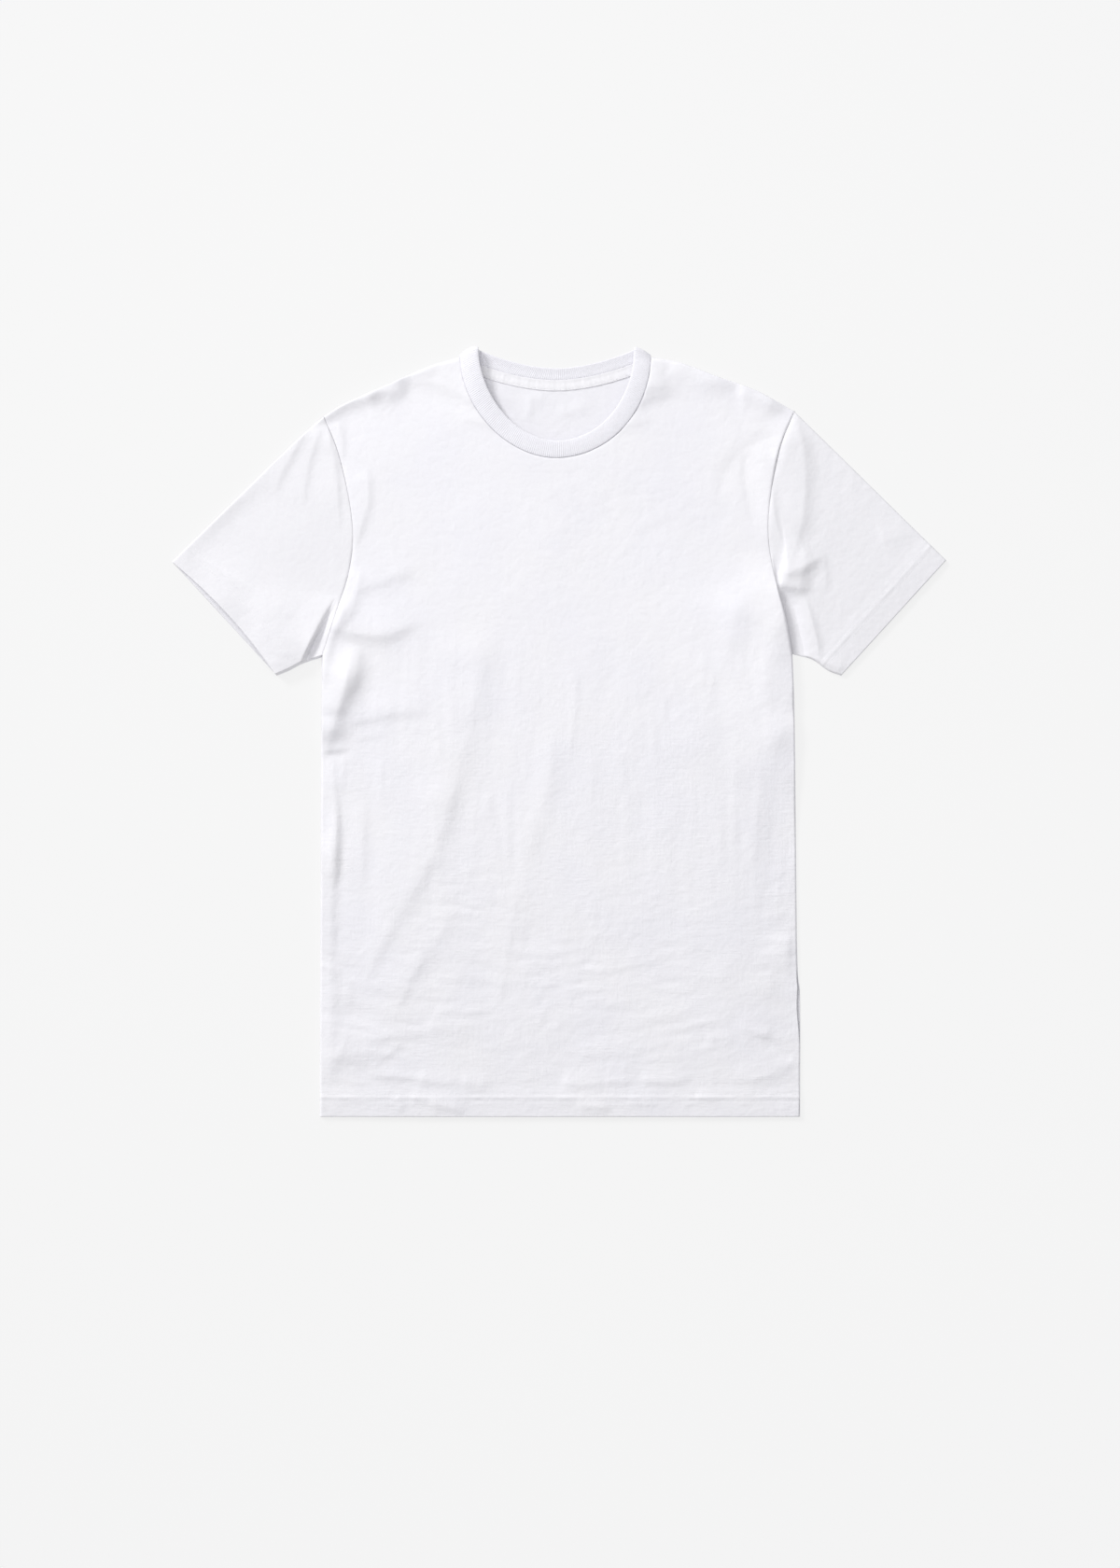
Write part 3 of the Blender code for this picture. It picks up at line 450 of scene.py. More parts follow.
WALE, COURSE = 0.85, 0.62  # one knit stitch, across and along
KNITS = {
    # lean of a stitch's legs, relief of the courses, relief of the wales
    "plain": (1.3, 0.25, 0.25),
    "wrong side": (0.5, 0.4, 0.08),
    "fine": (1.3, 0.2, 0.1),  # the rib's and the tape's
}
GRAIN = [
    # clumps in a metre, detail, height
    (2600.0, 3.0, 0.6),  # fuzz
    (300.0, 0.0, 2.3),
    (150.0, 0.0, 3.0),
]
CRINKLES = [
    # cells in a metre across, cells in a metre along, height, y where it starts, y where it is full
    (85.0, 560.0, 3.0, 0.20, -0.10),  # short ripples across
    (60.0, 330.0, 2.6, 0.15, -0.20),
    (560.0, 55.0, 2.2, 0.16, 0.0),  # upright pulls
    (330.0, 300.0, 1.5, 0.40, -0.10),
]
CRINKLE_DETAIL = 2.0
CRINKLE_PATCH = 26.0  # patches in a metre, in some of which the crinkles are stronger
CRINKLE_SPAN = (0.3, 0.7)  # from a weak patch to a strong one
CRINKLE_LEAST = 0.25  # strength in a weak one
CRINKLE_SPREAD = 0.2  # makes other patches for each row
CLOTH_BUMP = {"Distance": 0.00012, "Strength": 0.7}  # in metres
THREAD_BUMP = {"Distance": 0.00004, "Strength": 0.5}

# --- Stage, in metres ---
FLOOR_REACH = 15.0
FLOOR_DROP = 0.0002  # below the T-shirt
FLOOR_WHITE = 0.921  # what the pale ground shows as, linear
FLOOR_GLOW = 0.86  # share of it that the floor gives off itself, so that shadows stay faint
WORLD_LIGHT = 0.445
WORLD_COLOUR = (0.985, 0.985, 1.0)
KEY_DIRECTION = (-1.0, 0.95, 1.0)  # towards the low key light
KEY_STRENGTH = 1.75
KEY_SOFTNESS = 16.0  # degrees that it spans
TOP_PLACE = (-0.25, 0.55, 1.5)
TOP_SIZE = 0.9
TOP_POWER = 8.0

CAMERA_HEIGHT = 3.0
FRAME_HEIGHT = 1.470  # what the image's long side shows at the T-shirt
FRAME_CENTRE = (0.0009, -0.0486)
SENSOR = 36.0
FARTHEST = 20.0


# --- Curves ---
def smooth(points, steps=10):
    """A polyline on the smooth curve through the points."""
    p = np.asarray(points, float)
    if len(p) == 2:
        return p
    q = np.vstack([2 * p[0] - p[1], p, 2 * p[-1] - p[-2]])
    t = np.linspace(0, 1, steps, endpoint=False)[:, None]
    spans = []
    for a, b, c, d in zip(q, q[1:], q[2:], q[3:]):
        cubic = (3 * b - a - 3 * c + d) * t**3
        spans.append((2 * b + (c - a) * t + (2 * a - 5 * b + 4 * c - d) * t**2 + cubic) / 2)
    return np.vstack([*spans, p[-1:]])


def walked(curve):
    """How far along the polyline each of its points is."""
    return np.concatenate([[0], np.cumsum(np.linalg.norm(np.diff(curve, axis=0), axis=1))])


def along(curve, parts):
    """Points on the polyline at these parts of its length."""
    far = walked(curve)
    at = np.asarray(parts) * far[-1]
    return np.stack([np.interp(at, far, curve[:, k]) for k in range(curve.shape[1])], axis=-1)


def length(curve):
    return float(walked(curve)[-1])


def beside(curve, distance):
    """The polyline moved sideways, to the left of the way it runs."""
    way = np.gradient(curve, axis=0)
    way /= np.linalg.norm(way, axis=1, keepdims=True)
    return curve + distance * np.stack([-way[:, 1], way[:, 0]], axis=1)


def nearest(points, curve):
    """For each point: how far along the polyline its nearest place is, as a part of the whole, and
    its distance from there, positive to the left."""
    flat = points.reshape(-1, 2)
    start, run = curve[:-1], np.diff(curve, axis=0)
    size = np.linalg.norm(run, axis=1)
    away = flat[:, None] - start
    part = np.clip((away * run).sum(-1) / size**2, 0, 1)
    off = away - part[..., None] * run
    distance = np.hypot(off[..., 0], off[..., 1])
    pick = distance.argmin(1)
    row = np.arange(len(flat))
    side = run[pick, 0] * off[row, pick, 1] - run[pick, 1] * off[row, pick, 0]
    signed = distance[row, pick] * np.where(side < 0, -1, 1)
    far = walked(curve)
    place = (far[pick] + part[row, pick] * size[pick]) / far[-1]
    return place.reshape(points.shape[:-1]), signed.reshape(points.shape[:-1])


def distance_to(points, curve):
    return np.abs(nearest(points, curve)[1])


def ease(t):
    t = np.clip(t, 0, 1)
    return t * t * (3 - 2 * t)


def bell(t):
    return np.exp(-0.5 * t**2)


def crest(t):
    """A fold's section: narrower at its top than a bell, and wider at its foot."""
    return np.exp(-CREST_FALL * ((t * t + CREST_ROUND) ** CREST_POWER - CREST_ROUND**CREST_POWER))


def patch(bottom, top, left, right, across, up, reach=None):
    """Points of a surface between four edges. bottom, top, left and right hold its border. The bow
    of the left and the right edge dies out over reach, a part of the width, or else evenly."""
    u, v = np.asarray(across)[None, :, None], np.asarray(up)[:, None, None]
    near_left, near_right = 1 - u, u
    if reach:
        near_left, near_right = (np.clip(1 - part / reach, 0, 1) ** 2 for part in (u, 1 - u))
    ruled = (1 - v) * bottom[None] + v * top[None]
    bow_left = left[:, None] - ((1 - v) * bottom[0] + v * top[0])
    bow_right = right[:, None] - ((1 - v) * bottom[-1] + v * top[-1])
    return ruled + near_left * bow_left + near_right * bow_right


def lines_between(first, last, step):
    """Grid lines from first to last about a step apart, without the first."""
    return np.linspace(first, last, max(2, round((last - first) / step) + 1))[1:]


def from_both_ends(total, step):
    """Grid lines over a width, close together at both its edges."""
    start = np.array(EDGE_STEPS)
    middle = lines_between(start[-1], total - start[-1], step)
    return np.concatenate([start, middle, total - start[::-1][1:]])


EDGES = {
    side: {name: smooth(points) for name, points in edges.items()}
    for side, edges in OUTLINE.items()
}
OUTWARD = {"left": -1, "right": 1}
# The edges where the two layers join.
CLOSED_EDGES = [
    np.vstack([EDGES[side][a], EDGES[side][b][1:]])
    for side in EDGES
    for a, b in (("side_seam", "underarm"), ("sleeve_top", "shoulder"))
]
BOTTOM = np.array([OUTLINE["left"]["side_seam"][0], OUTLINE["right"]["side_seam"][0]])
HEMS = {
    # edge, depth of the hem, how clearly it shows
    "bottom": (BOTTOM, BODY_HEM, HEM_CLEAR["bottom"]),
    "left": (EDGES["left"]["cuff"], SLEEVE_HEM, HEM_CLEAR["left"]),
    "right": (EDGES["right"]["cuff"], SLEEVE_HEM, HEM_CLEAR["right"]),
}


def from_closed(points):
    """Each point's distance from the nearest closed edge."""
    return np.min([distance_to(points, edge) for edge in CLOSED_EDGES], axis=0)


# --- Neck curves ---
def front_neck(x, y, half_width, depth, angles):
    """The front neckline from left to right: two half ellipses, fuller or slimmer."""
    points = []
    for angle in angles:
        power = 2 / NECK_FULLNESS["left" if angle < 0 else "right"]
        across = math.copysign(abs(math.sin(angle)) ** power, angle)
        points.append((x + half_width * across, y - depth * abs(math.cos(angle)) ** power))
    return np.array(points)


def back_neck(x, y, half_width, depth, parts):
    """The back neckline from left to right."""
    drop = depth * (1 - np.abs(parts) ** BACK_SHAPE)
    return np.stack([x + half_width * parts, y - drop], axis=1)


NECK_ANGLES = np.linspace(-math.pi / 2, math.pi / 2, NECK_STATIONS + 1)
BACK_PARTS = np.sin(NECK_ANGLES)
FRONT_SEAM = front_neck(NECK_X, NECK_Y, NECK_HALF_WIDTH, FRONT_DEPTH, NECK_ANGLES)
BACK_SEAM = back_neck(NECK_X, NECK_Y, NECK_HALF_WIDTH, BACK_DEPTH, BACK_PARTS)


# --- Height of the upper layer ---
def fold_heights(points, folds):
    """Soft ridges and troughs along smooth paths, dying out at both ends."""
    bent = points + BEND * np.stack(
        [crumple(points, BEND_CELL, BEND_CELL, seed) for seed in BEND_SEEDS], axis=-1
    )
    strength = 1 + SWING * crumple(points, SWING_CELL, SWING_CELL, SWING_SEED)
    total = np.zeros(points.shape[:-1])
    for path, to_left, to_right, height in folds:
        curve = smooth(path, FOLD_STEPS)
        reach = FOLD_REACH * LEAN * max(to_left, to_right)
        inside = (bent > curve.min(axis=0) - reach) & (bent < curve.max(axis=0) + reach)
        inside = inside.all(axis=-1)
        way = curve[-1] - curve[0]
        leans_left = (way[0] * SLACK_SIDE[1] - way[1] * SLACK_SIDE[0]) * height > 0
        to_left, to_right = (LEAN * to_left, to_right) if leans_left else (to_left, LEAN * to_right)
        place, off = nearest(bent[inside], curve)
        fade = ease(place / FADE_IN) * ease((1 - place) / FADE_OUT)
        width = np.where(off > 0, to_left, to_right) * (THINNEST + (1 - THINNEST) * fade)
        total[inside] += height * fade * crest(off / width)
    return total * strength


def crumple(points, across, along_y, seed):
    """A soft random relief of about unit height, in cells of this size."""
    rng = np.random.default_rng(seed)
    cell = np.array([across, along_y])
    count = np.ceil(2 * CRUMPLE_REACH / cell).astype(int) + 4
    lattice = rng.normal(size=count)
    at = (points + CRUMPLE_REACH) / cell
    base = np.floor(at).astype(int)
    t = at - base

    def weights(t):
        return [(1 - t) ** 3 / 6, (3 * t**3 - 6 * t**2 + 4) / 6,
                (-3 * t**3 + 3 * t**2 + 3 * t + 1) / 6, t**3 / 6]

    wx, wy = weights(t[..., 0]), weights(t[..., 1])
    total = np.zeros(points.shape[:-1])
    for i in range(4):
        for j in range(4):
            total += wx[i] * wy[j] * lattice[base[..., 0] + i, base[..., 1] + j]
    return total


def crumples(points):
    y = points[..., 1]
    sagged = points - np.stack([np.zeros_like(y), RIPPLE_SAG * points[..., 0] ** 2], axis=-1)
    total = np.zeros(points.shape[:-1])
    for across, along_y, height, seed, low, high, fade in CRUMPLES:
        where = ease((y - low) / fade) * ease((high - y) / fade)
        where = where * (1 + PATCHY * crumple(points, PATCH_CELL, PATCH_CELL, seed + PATCH_SEED))
        total += 2 * height * where * crumple(sagged, across, along_y, seed)
    return total


def unevenness(place):
    """Strength of a hem's relief along it, from 0.4 to 1.6."""
    return 1 + sum(height * np.sin(place / long + start) for height, long, start in HEM_WAVES)


def hem_relief(place, depth, hem_depth):
    """The pressed ridge between two rows of stitching, and their grooves."""
    relief = HEM_RIDGE * bell((depth - hem_depth - sum(STITCH_ROWS) / 2) / HEM_RIDGE_WIDTH)
    for row in STITCH_ROWS:
        relief = relief - STITCH_GROOVE * bell((depth - hem_depth - row) / STITCH_GROOVE_WIDTH)
    return relief * unevenness(place)


def in_hem(points):
    """1 in a hem that shows, falling to 0 further in, and less in a hem that hardly shows."""
    total = np.zeros(points.shape[:-1])
    for edge, depth, clear in HEMS.values():
        total += clear * (1 - ease((distance_to(points, edge) - depth) / HEM_SLOPE))
    return total


def turned(distance, depth):
    """How far the outer face has gone down at this distance from an edge that it turns round."""
    part = 1 - np.clip(distance / TURN, 0, 1)
    return depth * (1 - np.sqrt(1 - part**2))


def upper_height(points):
    """Height of the upper layer's outer face above the surface that the T-shirt lies on."""
    inside = from_closed(points)
    from_hem = np.min([distance_to(points, edge) for edge, _, _ in HEMS.values()], axis=0)
    from_neck = distance_to(points, FRONT_SEAM[::LIFT_STEP])
    at_hem = 1 - ease(from_hem / HEM_REACH)
    roll = ROLL_RISE * (1 - (1 - np.clip(inside / ROLL_WIDTH, 0, 1)) ** 2)
    loft = LOFT * ease(inside / LOFT_WIDTH)
    neck = NECK_LIFT * np.exp(-((from_neck / NECK_REACH) ** 2)) * ease(inside / NECK_MARGIN)
    folds = fold_heights(points, FOLDS) * ease(inside / FOLD_MARGIN)
    fine = crumples(points) * ease(inside / FOLD_MARGIN)
    rise = roll + neck + (1 - HEM_PRESS * at_hem) * loft + (1 - FOLD_PRESS * at_hem) * folds + fine
    rise = (rise + np.sqrt(rise**2 + SOFTEST**2)) / 2
    rise = rise - SOFTEST / 2 * (1 - ease(inside / ROLL_WIDTH))
    return EDGE_TOP + np.maximum(rise, 0) + HEM_LIFT * in_hem(points)


def sewn(points, height, seam, grooves):
    """The same height with a groove at the seam, steep on the side towards the light."""
    place, off = nearest(points, seam)
    part, depth, far_width = np.array(grooves).T
    run = seam[-1] - seam[0]
    lit_to_left = run[0] * SLACK_SIDE[1] - run[1] * SLACK_SIDE[0] > 0
    lit = (off > 0) == lit_to_left
    width = np.where(lit, GROOVE_NEAR, np.interp(place, part, far_width))
    groove = np.interp(place, part, depth) * np.exp(-((np.abs(off) / width) ** 1.5))
    return np.maximum(height - groove, np.minimum(height, LOWEST))


def upper_face(points, seams, hem, edge_turn):
    """The outer face of the upper layer over points of the plane. seams has a curve and its grooves
    for each seam, hem is one of HEMS, and edge_turn is how far the face goes down round a closed
    edge."""
    height = upper_height(points)
    for seam, grooves in seams:
        height = sewn(points, height, seam, grooves)
    edge, hem_depth, clear = hem
    place, off = nearest(points, edge)
    off = np.abs(off)
    height = height + clear * hem_relief(place * length(edge), off, hem_depth)
    drop = np.maximum(turned(off, JERSEY + HEM_THICKER), turned(from_closed(points), edge_turn))
    return np.dstack([points, height - drop])


def normals(face):
    """Unit normals of a grid of points, upwards."""
    up, across = np.gradient(face, axis=0), np.gradient(face, axis=1)
    normal = np.cross(across, up)
    normal /= np.linalg.norm(normal, axis=-1, keepdims=True)
    return normal * np.where(normal[..., 2:] < 0, -1, 1)


# --- Meshes ---
def quads(rows, columns, wrap_rows=False, wrap_columns=False):
    """Faces of a grid of points that are numbered row by row."""
    i = np.arange(rows if wrap_rows else rows - 1)[:, None]
    j = np.arange(columns if wrap_columns else columns - 1)[None]
    below, above = i * columns, (i + 1) % rows * columns
    after = (j + 1) % columns
    return np.stack([below + j, below + after, above + after, above + j], axis=-1).reshape(-1, 4)


def linked(name, data):
    made = bpy.data.objects.new(name, data)
    bpy.context.scene.collection.objects.link(made)
    return made


def mesh_object(name, points, faces, chart, materials, slots=None):
    """An object from points in mm, with its faces turned to point out. chart is each point's place
    in the flat cloth, in mm."""
    square = [face for face in faces if len(face) == 4]
    corners = points[np.array(square)]
    fans = [np.cross(corners[:, k], corners[:, (k + 1) % 4]) for k in range(4)]
    if (corners.mean(axis=1) * sum(fans)).sum() < 0:
        faces = [face[::-1] for face in faces]
    mesh = bpy.data.meshes.new(name)
    mesh.from_pydata((points * MM).tolist(), [], [list(map(int, face)) for face in faces])
    mesh.validate()
    mesh.shade_smooth()
    for material in materials:
        mesh.materials.append(material)
    if slots is not None:
        mesh.polygons.foreach_set("material_index", np.asarray(slots, np.int32))
    corner_points = np.empty(len(mesh.loops), np.int32)
    mesh.loops.foreach_get("vertex_index", corner_points)
    layer = mesh.uv_layers.new(name="cloth")
    layer.data.foreach_set("uv", (chart[corner_points] * MM).astype(np.float32).ravel())
    return linked(name, mesh)


def every(count, step):
    """Indices from 0 to count - 1, a step apart, with the last."""
    return np.unique(np.append(np.arange(0, count, step), count - 1))


def rim(near, far, kept, forward):
    """Faces from an edge of the outer face to the same edge of the inner face, which has only the
    kept lines. near and far are the two edges' points."""
    faces = [near[a : b + 1] + far[k : k + 2][::-1] for k, (a, b) in enumerate(zip(kept, kept[1:]))]
    return [face[::-1] for face in faces] if forward else faces


def shell(name, outer, inner, chart, materials, inner_step=INNER_STEP, tube=False):
    """A closed wall between two grids of points. The inner face may have fewer lines. A tube's
    columns go all the way round. materials are the outer and the inner face's."""
    rows, columns = outer.shape[:2]
    kept_rows = every(rows, inner_step)
    kept_columns = np.arange(0, columns, inner_step) if tube else every(columns, inner_step)
    wide = len(kept_columns)
    count = rows * columns
    outside = quads(rows, columns, wrap_columns=tube)
    inside = quads(len(kept_rows), wide, wrap_columns=tube)[:, ::-1] + count
    around = np.append(kept_columns, columns) if tube else kept_columns
    rims = []
    for row, inner_row, forward in ((0, 0, True), (rows - 1, len(kept_rows) - 1, False)):
        near = [row * columns + j % columns for j in range(around[-1] + 1)]
        far = [count + inner_row * wide + m % wide for m in range(len(around))]
        rims += rim(near, far, around, forward)
    for column, inner_column, forward in () if tube else ((0, 0, False), (columns - 1, wide - 1, True)):
        near = [i * columns + column for i in range(rows)]
        far = [count + m * wide + inner_column for m in range(len(kept_rows))]
        rims += rim(near, far, kept_rows, forward)
    faces = [*outside.tolist(), *inside.tolist(), *rims]
    slots = [0] * len(outside) + [1] * len(inside) + [0] * len(rims)
    kept = np.ix_(kept_rows, kept_columns)
    points = np.vstack([outer.reshape(-1, 3), inner[kept].reshape(-1, 3)])
    charted = np.vstack([chart.reshape(-1, 2), chart[kept].reshape(-1, 2)])
    return mesh_object(name, points, faces, charted, materials, slots)


# --- Panels ---
def drawn_in(side_seam):
    """The right side seam's upper layer, which lies inside the lower one in places."""
    y = side_seam[:, 1]
    inset = sum(depth * np.exp(-(((y - at) / half) ** 2)) for at, half, depth in SIDE_DRAWN_IN)
    return side_seam - np.stack([inset, np.zeros_like(inset)], axis=1)


def wall_under(outer):
    """The inner face of the cloth below an outer face. It stays clear of the outer face between its
    own lines, which are further apart."""
    inner = outer - normals(outer) * JERSEY
    for axis in (0, 1):
        margin = [(INNER_STEP, INNER_STEP) if k == axis else (0, 0) for k in (0, 1)]
        padded = np.pad(inner[..., 2], margin, mode="edge")
        size = inner.shape[axis]
        near = [padded.take(range(k, k + size), axis=axis) for k in range(2 * INNER_STEP + 1)]
        inner[..., 2] = np.min(near, axis=0)
    return inner


def panel_grid(neck_seam, right_side_seam, step):
    """Points of a body panel in the plane, row by row from the hem."""
    left, right = EDGES["left"], EDGES["right"]
    edge = np.array(EDGE_STEPS) / CHEST
    side = np.concatenate([edge, lines_between(edge[-1], NECK_PART[0], step / CHEST)])
    middle = lines_between(*NECK_PART, step / CHEST)
    across = np.concatenate([side, middle, 1 - side[::-1][1:]])
    neck = along(beside(neck_seam, -GAP / 2), np.linspace(0, 1, len(middle) + 1))
    shoulder = side / NECK_PART[0]
    left_shoulder = along(left["shoulder"], shoulder)[:-1]
    right_shoulder = along(right["shoulder"][::-1], 1 - shoulder[::-1])[1:]
    top = np.vstack([left_shoulder, neck, right_shoulder])
    chest = along(np.array([LEFT_ARMPIT, RIGHT_ARMPIT]), across)
    seam_length = LEFT_ARMPIT[1] - HEM_Y
    hem = lines_between(EDGE_STEPS[-1], BODY_HEM + HEM_FINE_PAST, HEM_FINE)
    up = np.concatenate([EDGE_STEPS, hem, lines_between(hem[-1], seam_length, step)])
    up /= seam_length
    side_seams = [along(seam, up) for seam in (left["side_seam"], right_side_seam)]
    body = patch(along(BOTTOM, across), chest, *side_seams, across, up)
    arm_steps = np.concatenate([EDGE_STEPS, lines_between(EDGE_STEPS[-1], ARMHOLE, step)])
    arm_parts = 1 - arm_steps[::-1] / ARMHOLE
    armholes = [
        beside(along(EDGES[name]["armhole"], arm_parts), turn * GAP / 2)
        for name, turn in OUTWARD.items()
    ]
    chest[[0, -1]] = armholes[0][0], armholes[1][0]
    top[[0, -1]] = armholes[0][-1], armholes[1][-1]
    yoke = patch(chest, top, *armholes, across, arm_parts, NECK_PART[0])
    return np.vstack([body, yoke[1:]])


def front_panel(materials):
    grid = panel_grid(FRONT_SEAM, drawn_in(EDGES["right"]["side_seam"]), FINE)
    seams = [(FRONT_SEAM[::NEAR_STEP], NECK_GROOVE)]
    seams += [(EDGES[side]["armhole"], ARMHOLE_GROOVES[side]) for side in EDGES]
    outer = upper_face(grid, seams, HEMS["bottom"], EDGE_TOP - LAYER - GAP)
    return shell("front_cloth", outer, wall_under(outer), grid, materials)


def lower_face(points, hem):
    """The underside, flat where it rests, turned up at its edges."""
    inside = from_closed(points)
    edge, hem_depth, _ = hem
    place, off = nearest(points, edge)
    off = np.abs(off)
    height = turned(inside, LAYER) + turned(off, LOWER_TURN)
    grooves = sum(bell((off - hem_depth - row) / STITCH_GROOVE_WIDTH) for row in STITCH_ROWS)
    height = height + STITCH_GROOVE * grooves * unevenness(place * length(edge))
    soft = fold_heights(points, UNDER_FOLDS) * ease(inside / FOLD_MARGIN) * ease(off / HEM_REACH)
    return np.dstack([points, height + soft])


def back_panel(materials):
    grid = panel_grid(BACK_SEAM, EDGES["right"]["side_seam"], BACK_STEP)
    outer = lower_face(grid, HEMS["bottom"])
    inner = outer + normals(outer) * JERSEY
    inner[..., 2] += BACK_LIFT + np.maximum(fold_heights(grid, INSIDE_FOLDS), -INSIDE_DEEPEST)
    return shell("back_cloth", outer, inner, grid, materials, inner_step=1)


# --- Sleeves ---
def cuff_line(side, depth, parts, inset):
    """The line across a sleeve at this distance inside the cuff's edge. Its middle is further in,
    by inset."""
    edges = EDGES[side]
    curves = edges["underarm"][::-1], edges["sleeve_top"]
    ends = np.array([along(curve, [depth / length(curve)])[0] for curve in curves])
    cuff = edges["cuff"][-1] - edges["cuff"][0]
    inwards = OUTWARD[side] * np.array([-cuff[1], cuff[0]]) / np.linalg.norm(cuff)
    return along(ends, parts) + (4 * inset * parts * (1 - parts))[:, None] * inwards


def sleeve_grid(side, cuff_inset):
    """Points of one layer of a sleeve in the plane: a row for each line across the sleeve, from
    the armhole out to the cuff, and in each a point for each line from the underarm to the top."""
    under_edge, top_edge = EDGES[side]["underarm"], EDGES[side]["sleeve_top"]
    parts = from_both_ends(ARMHOLE, FINE) / ARMHOLE
    armhole = beside(along(EDGES[side]["armhole"], parts), -OUTWARD[side] * GAP / 2)
    hem_reach = SLEEVE_HEM + HEM_FINE_PAST
    hem = np.concatenate([EDGE_STEPS, lines_between(EDGE_STEPS[-1], hem_reach, HEM_FINE)])
    start = np.array(EDGE_STEPS) / length(top_edge)
    out = np.concatenate([start, lines_between(start[-1], 1.0, FINE / length(top_edge))])
    under = along(under_edge, out * (1 - hem_reach / length(under_edge)))
    top = along(top_edge[::-1], out * (1 - hem_reach / length(top_edge)))
    under[0], top[0] = armhole[0], armhole[-1]
    hem_rows = [cuff_line(side, depth, parts, cuff_inset) for depth in hem[::-1]]
    arm = patch(armhole, hem_rows[0], under, top, parts, out)
    return np.vstack([arm, hem_rows[1:]])


def sleeve(side, materials):
    """A flattened tube: the lower layer lies on the surface and the upper layer on that."""
    seam = EDGES[side]["armhole"], ARMHOLE_GROOVES[side]
    over_plan, under_plan = sleeve_grid(side, CUFF_DRAWN_IN[side]), sleeve_grid(side, 0.0)
    over = upper_face(over_plan, [seam], HEMS[side], EDGE_TOP - LAYER - GAP / 2)
    under = lower_face(under_plan, HEMS[side])
    over_in, under_in = wall_under(over), under + normals(under) * JERSEY
    for faces in ((over, under), (over_in, under_in)):
        for edge in (0, -1):
            faces[0][:, edge] = (faces[0][:, edge] + faces[1][:, edge]) / 2
    outer, inner, plan = (
        np.concatenate([upper, lower[:, 1:-1][:, ::-1]], axis=1)
        for upper, lower in ((over, under), (over_in, under_in), (over_plan, under_plan))
    )
    cuff = EDGES[side]["cuff"]
    way = (cuff[-1] - cuff[0]) / np.linalg.norm(cuff[-1] - cuff[0])
    chart = np.stack([plan @ way, plan @ np.array([-way[1], way[0]])], axis=-1)
    return shell(f"{side}_sleeve_cloth", outer, inner, chart, materials, tube=True)


# --- Neck rib and tape ---
def turn_over(corner, outwards, top, bottom):
    """Points round the rib's turn at a shoulder, from the front layer to the back one."""
    radius = (top - bottom) / 2
    points = []
    for angle in np.radians(np.linspace(90, -90, TURN_STATIONS)):
        flat = np.asarray(corner) + min(radius, RIB_TURN) * math.cos(angle) * outwards
        points.append([*flat, (top + bottom) / 2 + radius * math.sin(angle)])
    return np.array(points)


def evened(values, reach):
    """The values, each averaged with those up to reach stations away."""
    padded = np.pad(values, reach, mode="edge")
    return np.convolve(padded, np.full(2 * reach + 1, 1 / (2 * reach + 1)), mode="valid")


def round_neck(front, front_z, back, back_z, turns):
    """A loop from the front's left end to the right, over, along the back and over again."""
    front, back = np.column_stack([front, front_z]), np.column_stack([back, back_z])
    return np.vstack([front, turns["right"], back[::-1], turns["left"][::-1]])


def rib_loops():
    """The rib's seamed edge and its free edge, each all the way round the neck."""
    angles = NECK_ANGLES[RIB_ENDS:-RIB_ENDS]
    kept = np.abs(BACK_PARTS) <= RIB_BACK_TO
    parts = BACK_PARTS[kept]
    seam_front = beside(FRONT_SEAM, GAP / 2)[RIB_ENDS:-RIB_ENDS]
    seam_back = beside(BACK_SEAM, GAP / 2)[kept]
    free_front = front_neck(FREE_X, FREE_Y, FREE_HALF_WIDTH, FREE_FRONT_DEPTH, angles)
    free_back = back_neck(FREE_X, FREE_Y, FREE_HALF_WIDTH, FREE_BACK_DEPTH, parts)
    seam_front_z = evened(upper_height(FRONT_SEAM), SEAM_EVENED)[RIB_ENDS:-RIB_ENDS] - LAYER / 2
    seam_back_z = np.full(len(parts), RIB_SEAM_HEIGHT["back"])
    rise = np.where(angles < 0, FOLD_TOP["left"], FOLD_TOP["right"]) - FREE_HEIGHT["front"]
    free_front_z = FREE_HEIGHT["front"] + rise * np.abs(np.sin(angles)) ** FREE_POWER["front"]
    free_front_z = np.maximum(free_front_z, seam_front_z + FREE_OVER_SEAM)
    fall = FREE_HEIGHT["back"] - FREE_HEIGHT["back_fold"]
    free_back_z = FREE_HEIGHT["back"] - fall * np.abs(parts) ** FREE_POWER["back"]
    seam_turns, free_turns = {}, {}
    for side, corner in (("right", RIGHT_NECK), ("left", LEFT_NECK)):
        free_corner = np.array([FREE_X + OUTWARD[side] * FREE_HALF_WIDTH, FREE_Y])
        inwards = free_corner - corner
        inwards /= np.linalg.norm(inwards)
        outwards = -OUTWARD[side] * np.array([-inwards[1], inwards[0]])
        seam_heights = RIB_SEAM_HEIGHT["front_fold"], RIB_SEAM_HEIGHT["back"]
        seam_turns[side] = turn_over(corner + GAP / 2 * inwards, outwards, *seam_heights)
        free_heights = FOLD_TOP[side], FREE_HEIGHT["back_fold"]
        free_turns[side] = turn_over(free_corner, outwards, *free_heights)
    seam = round_neck(seam_front, seam_front_z, seam_back, seam_back_z, seam_turns)
    free = round_neck(free_front, free_front_z, free_back, free_back_z, free_turns)
    return seam, free


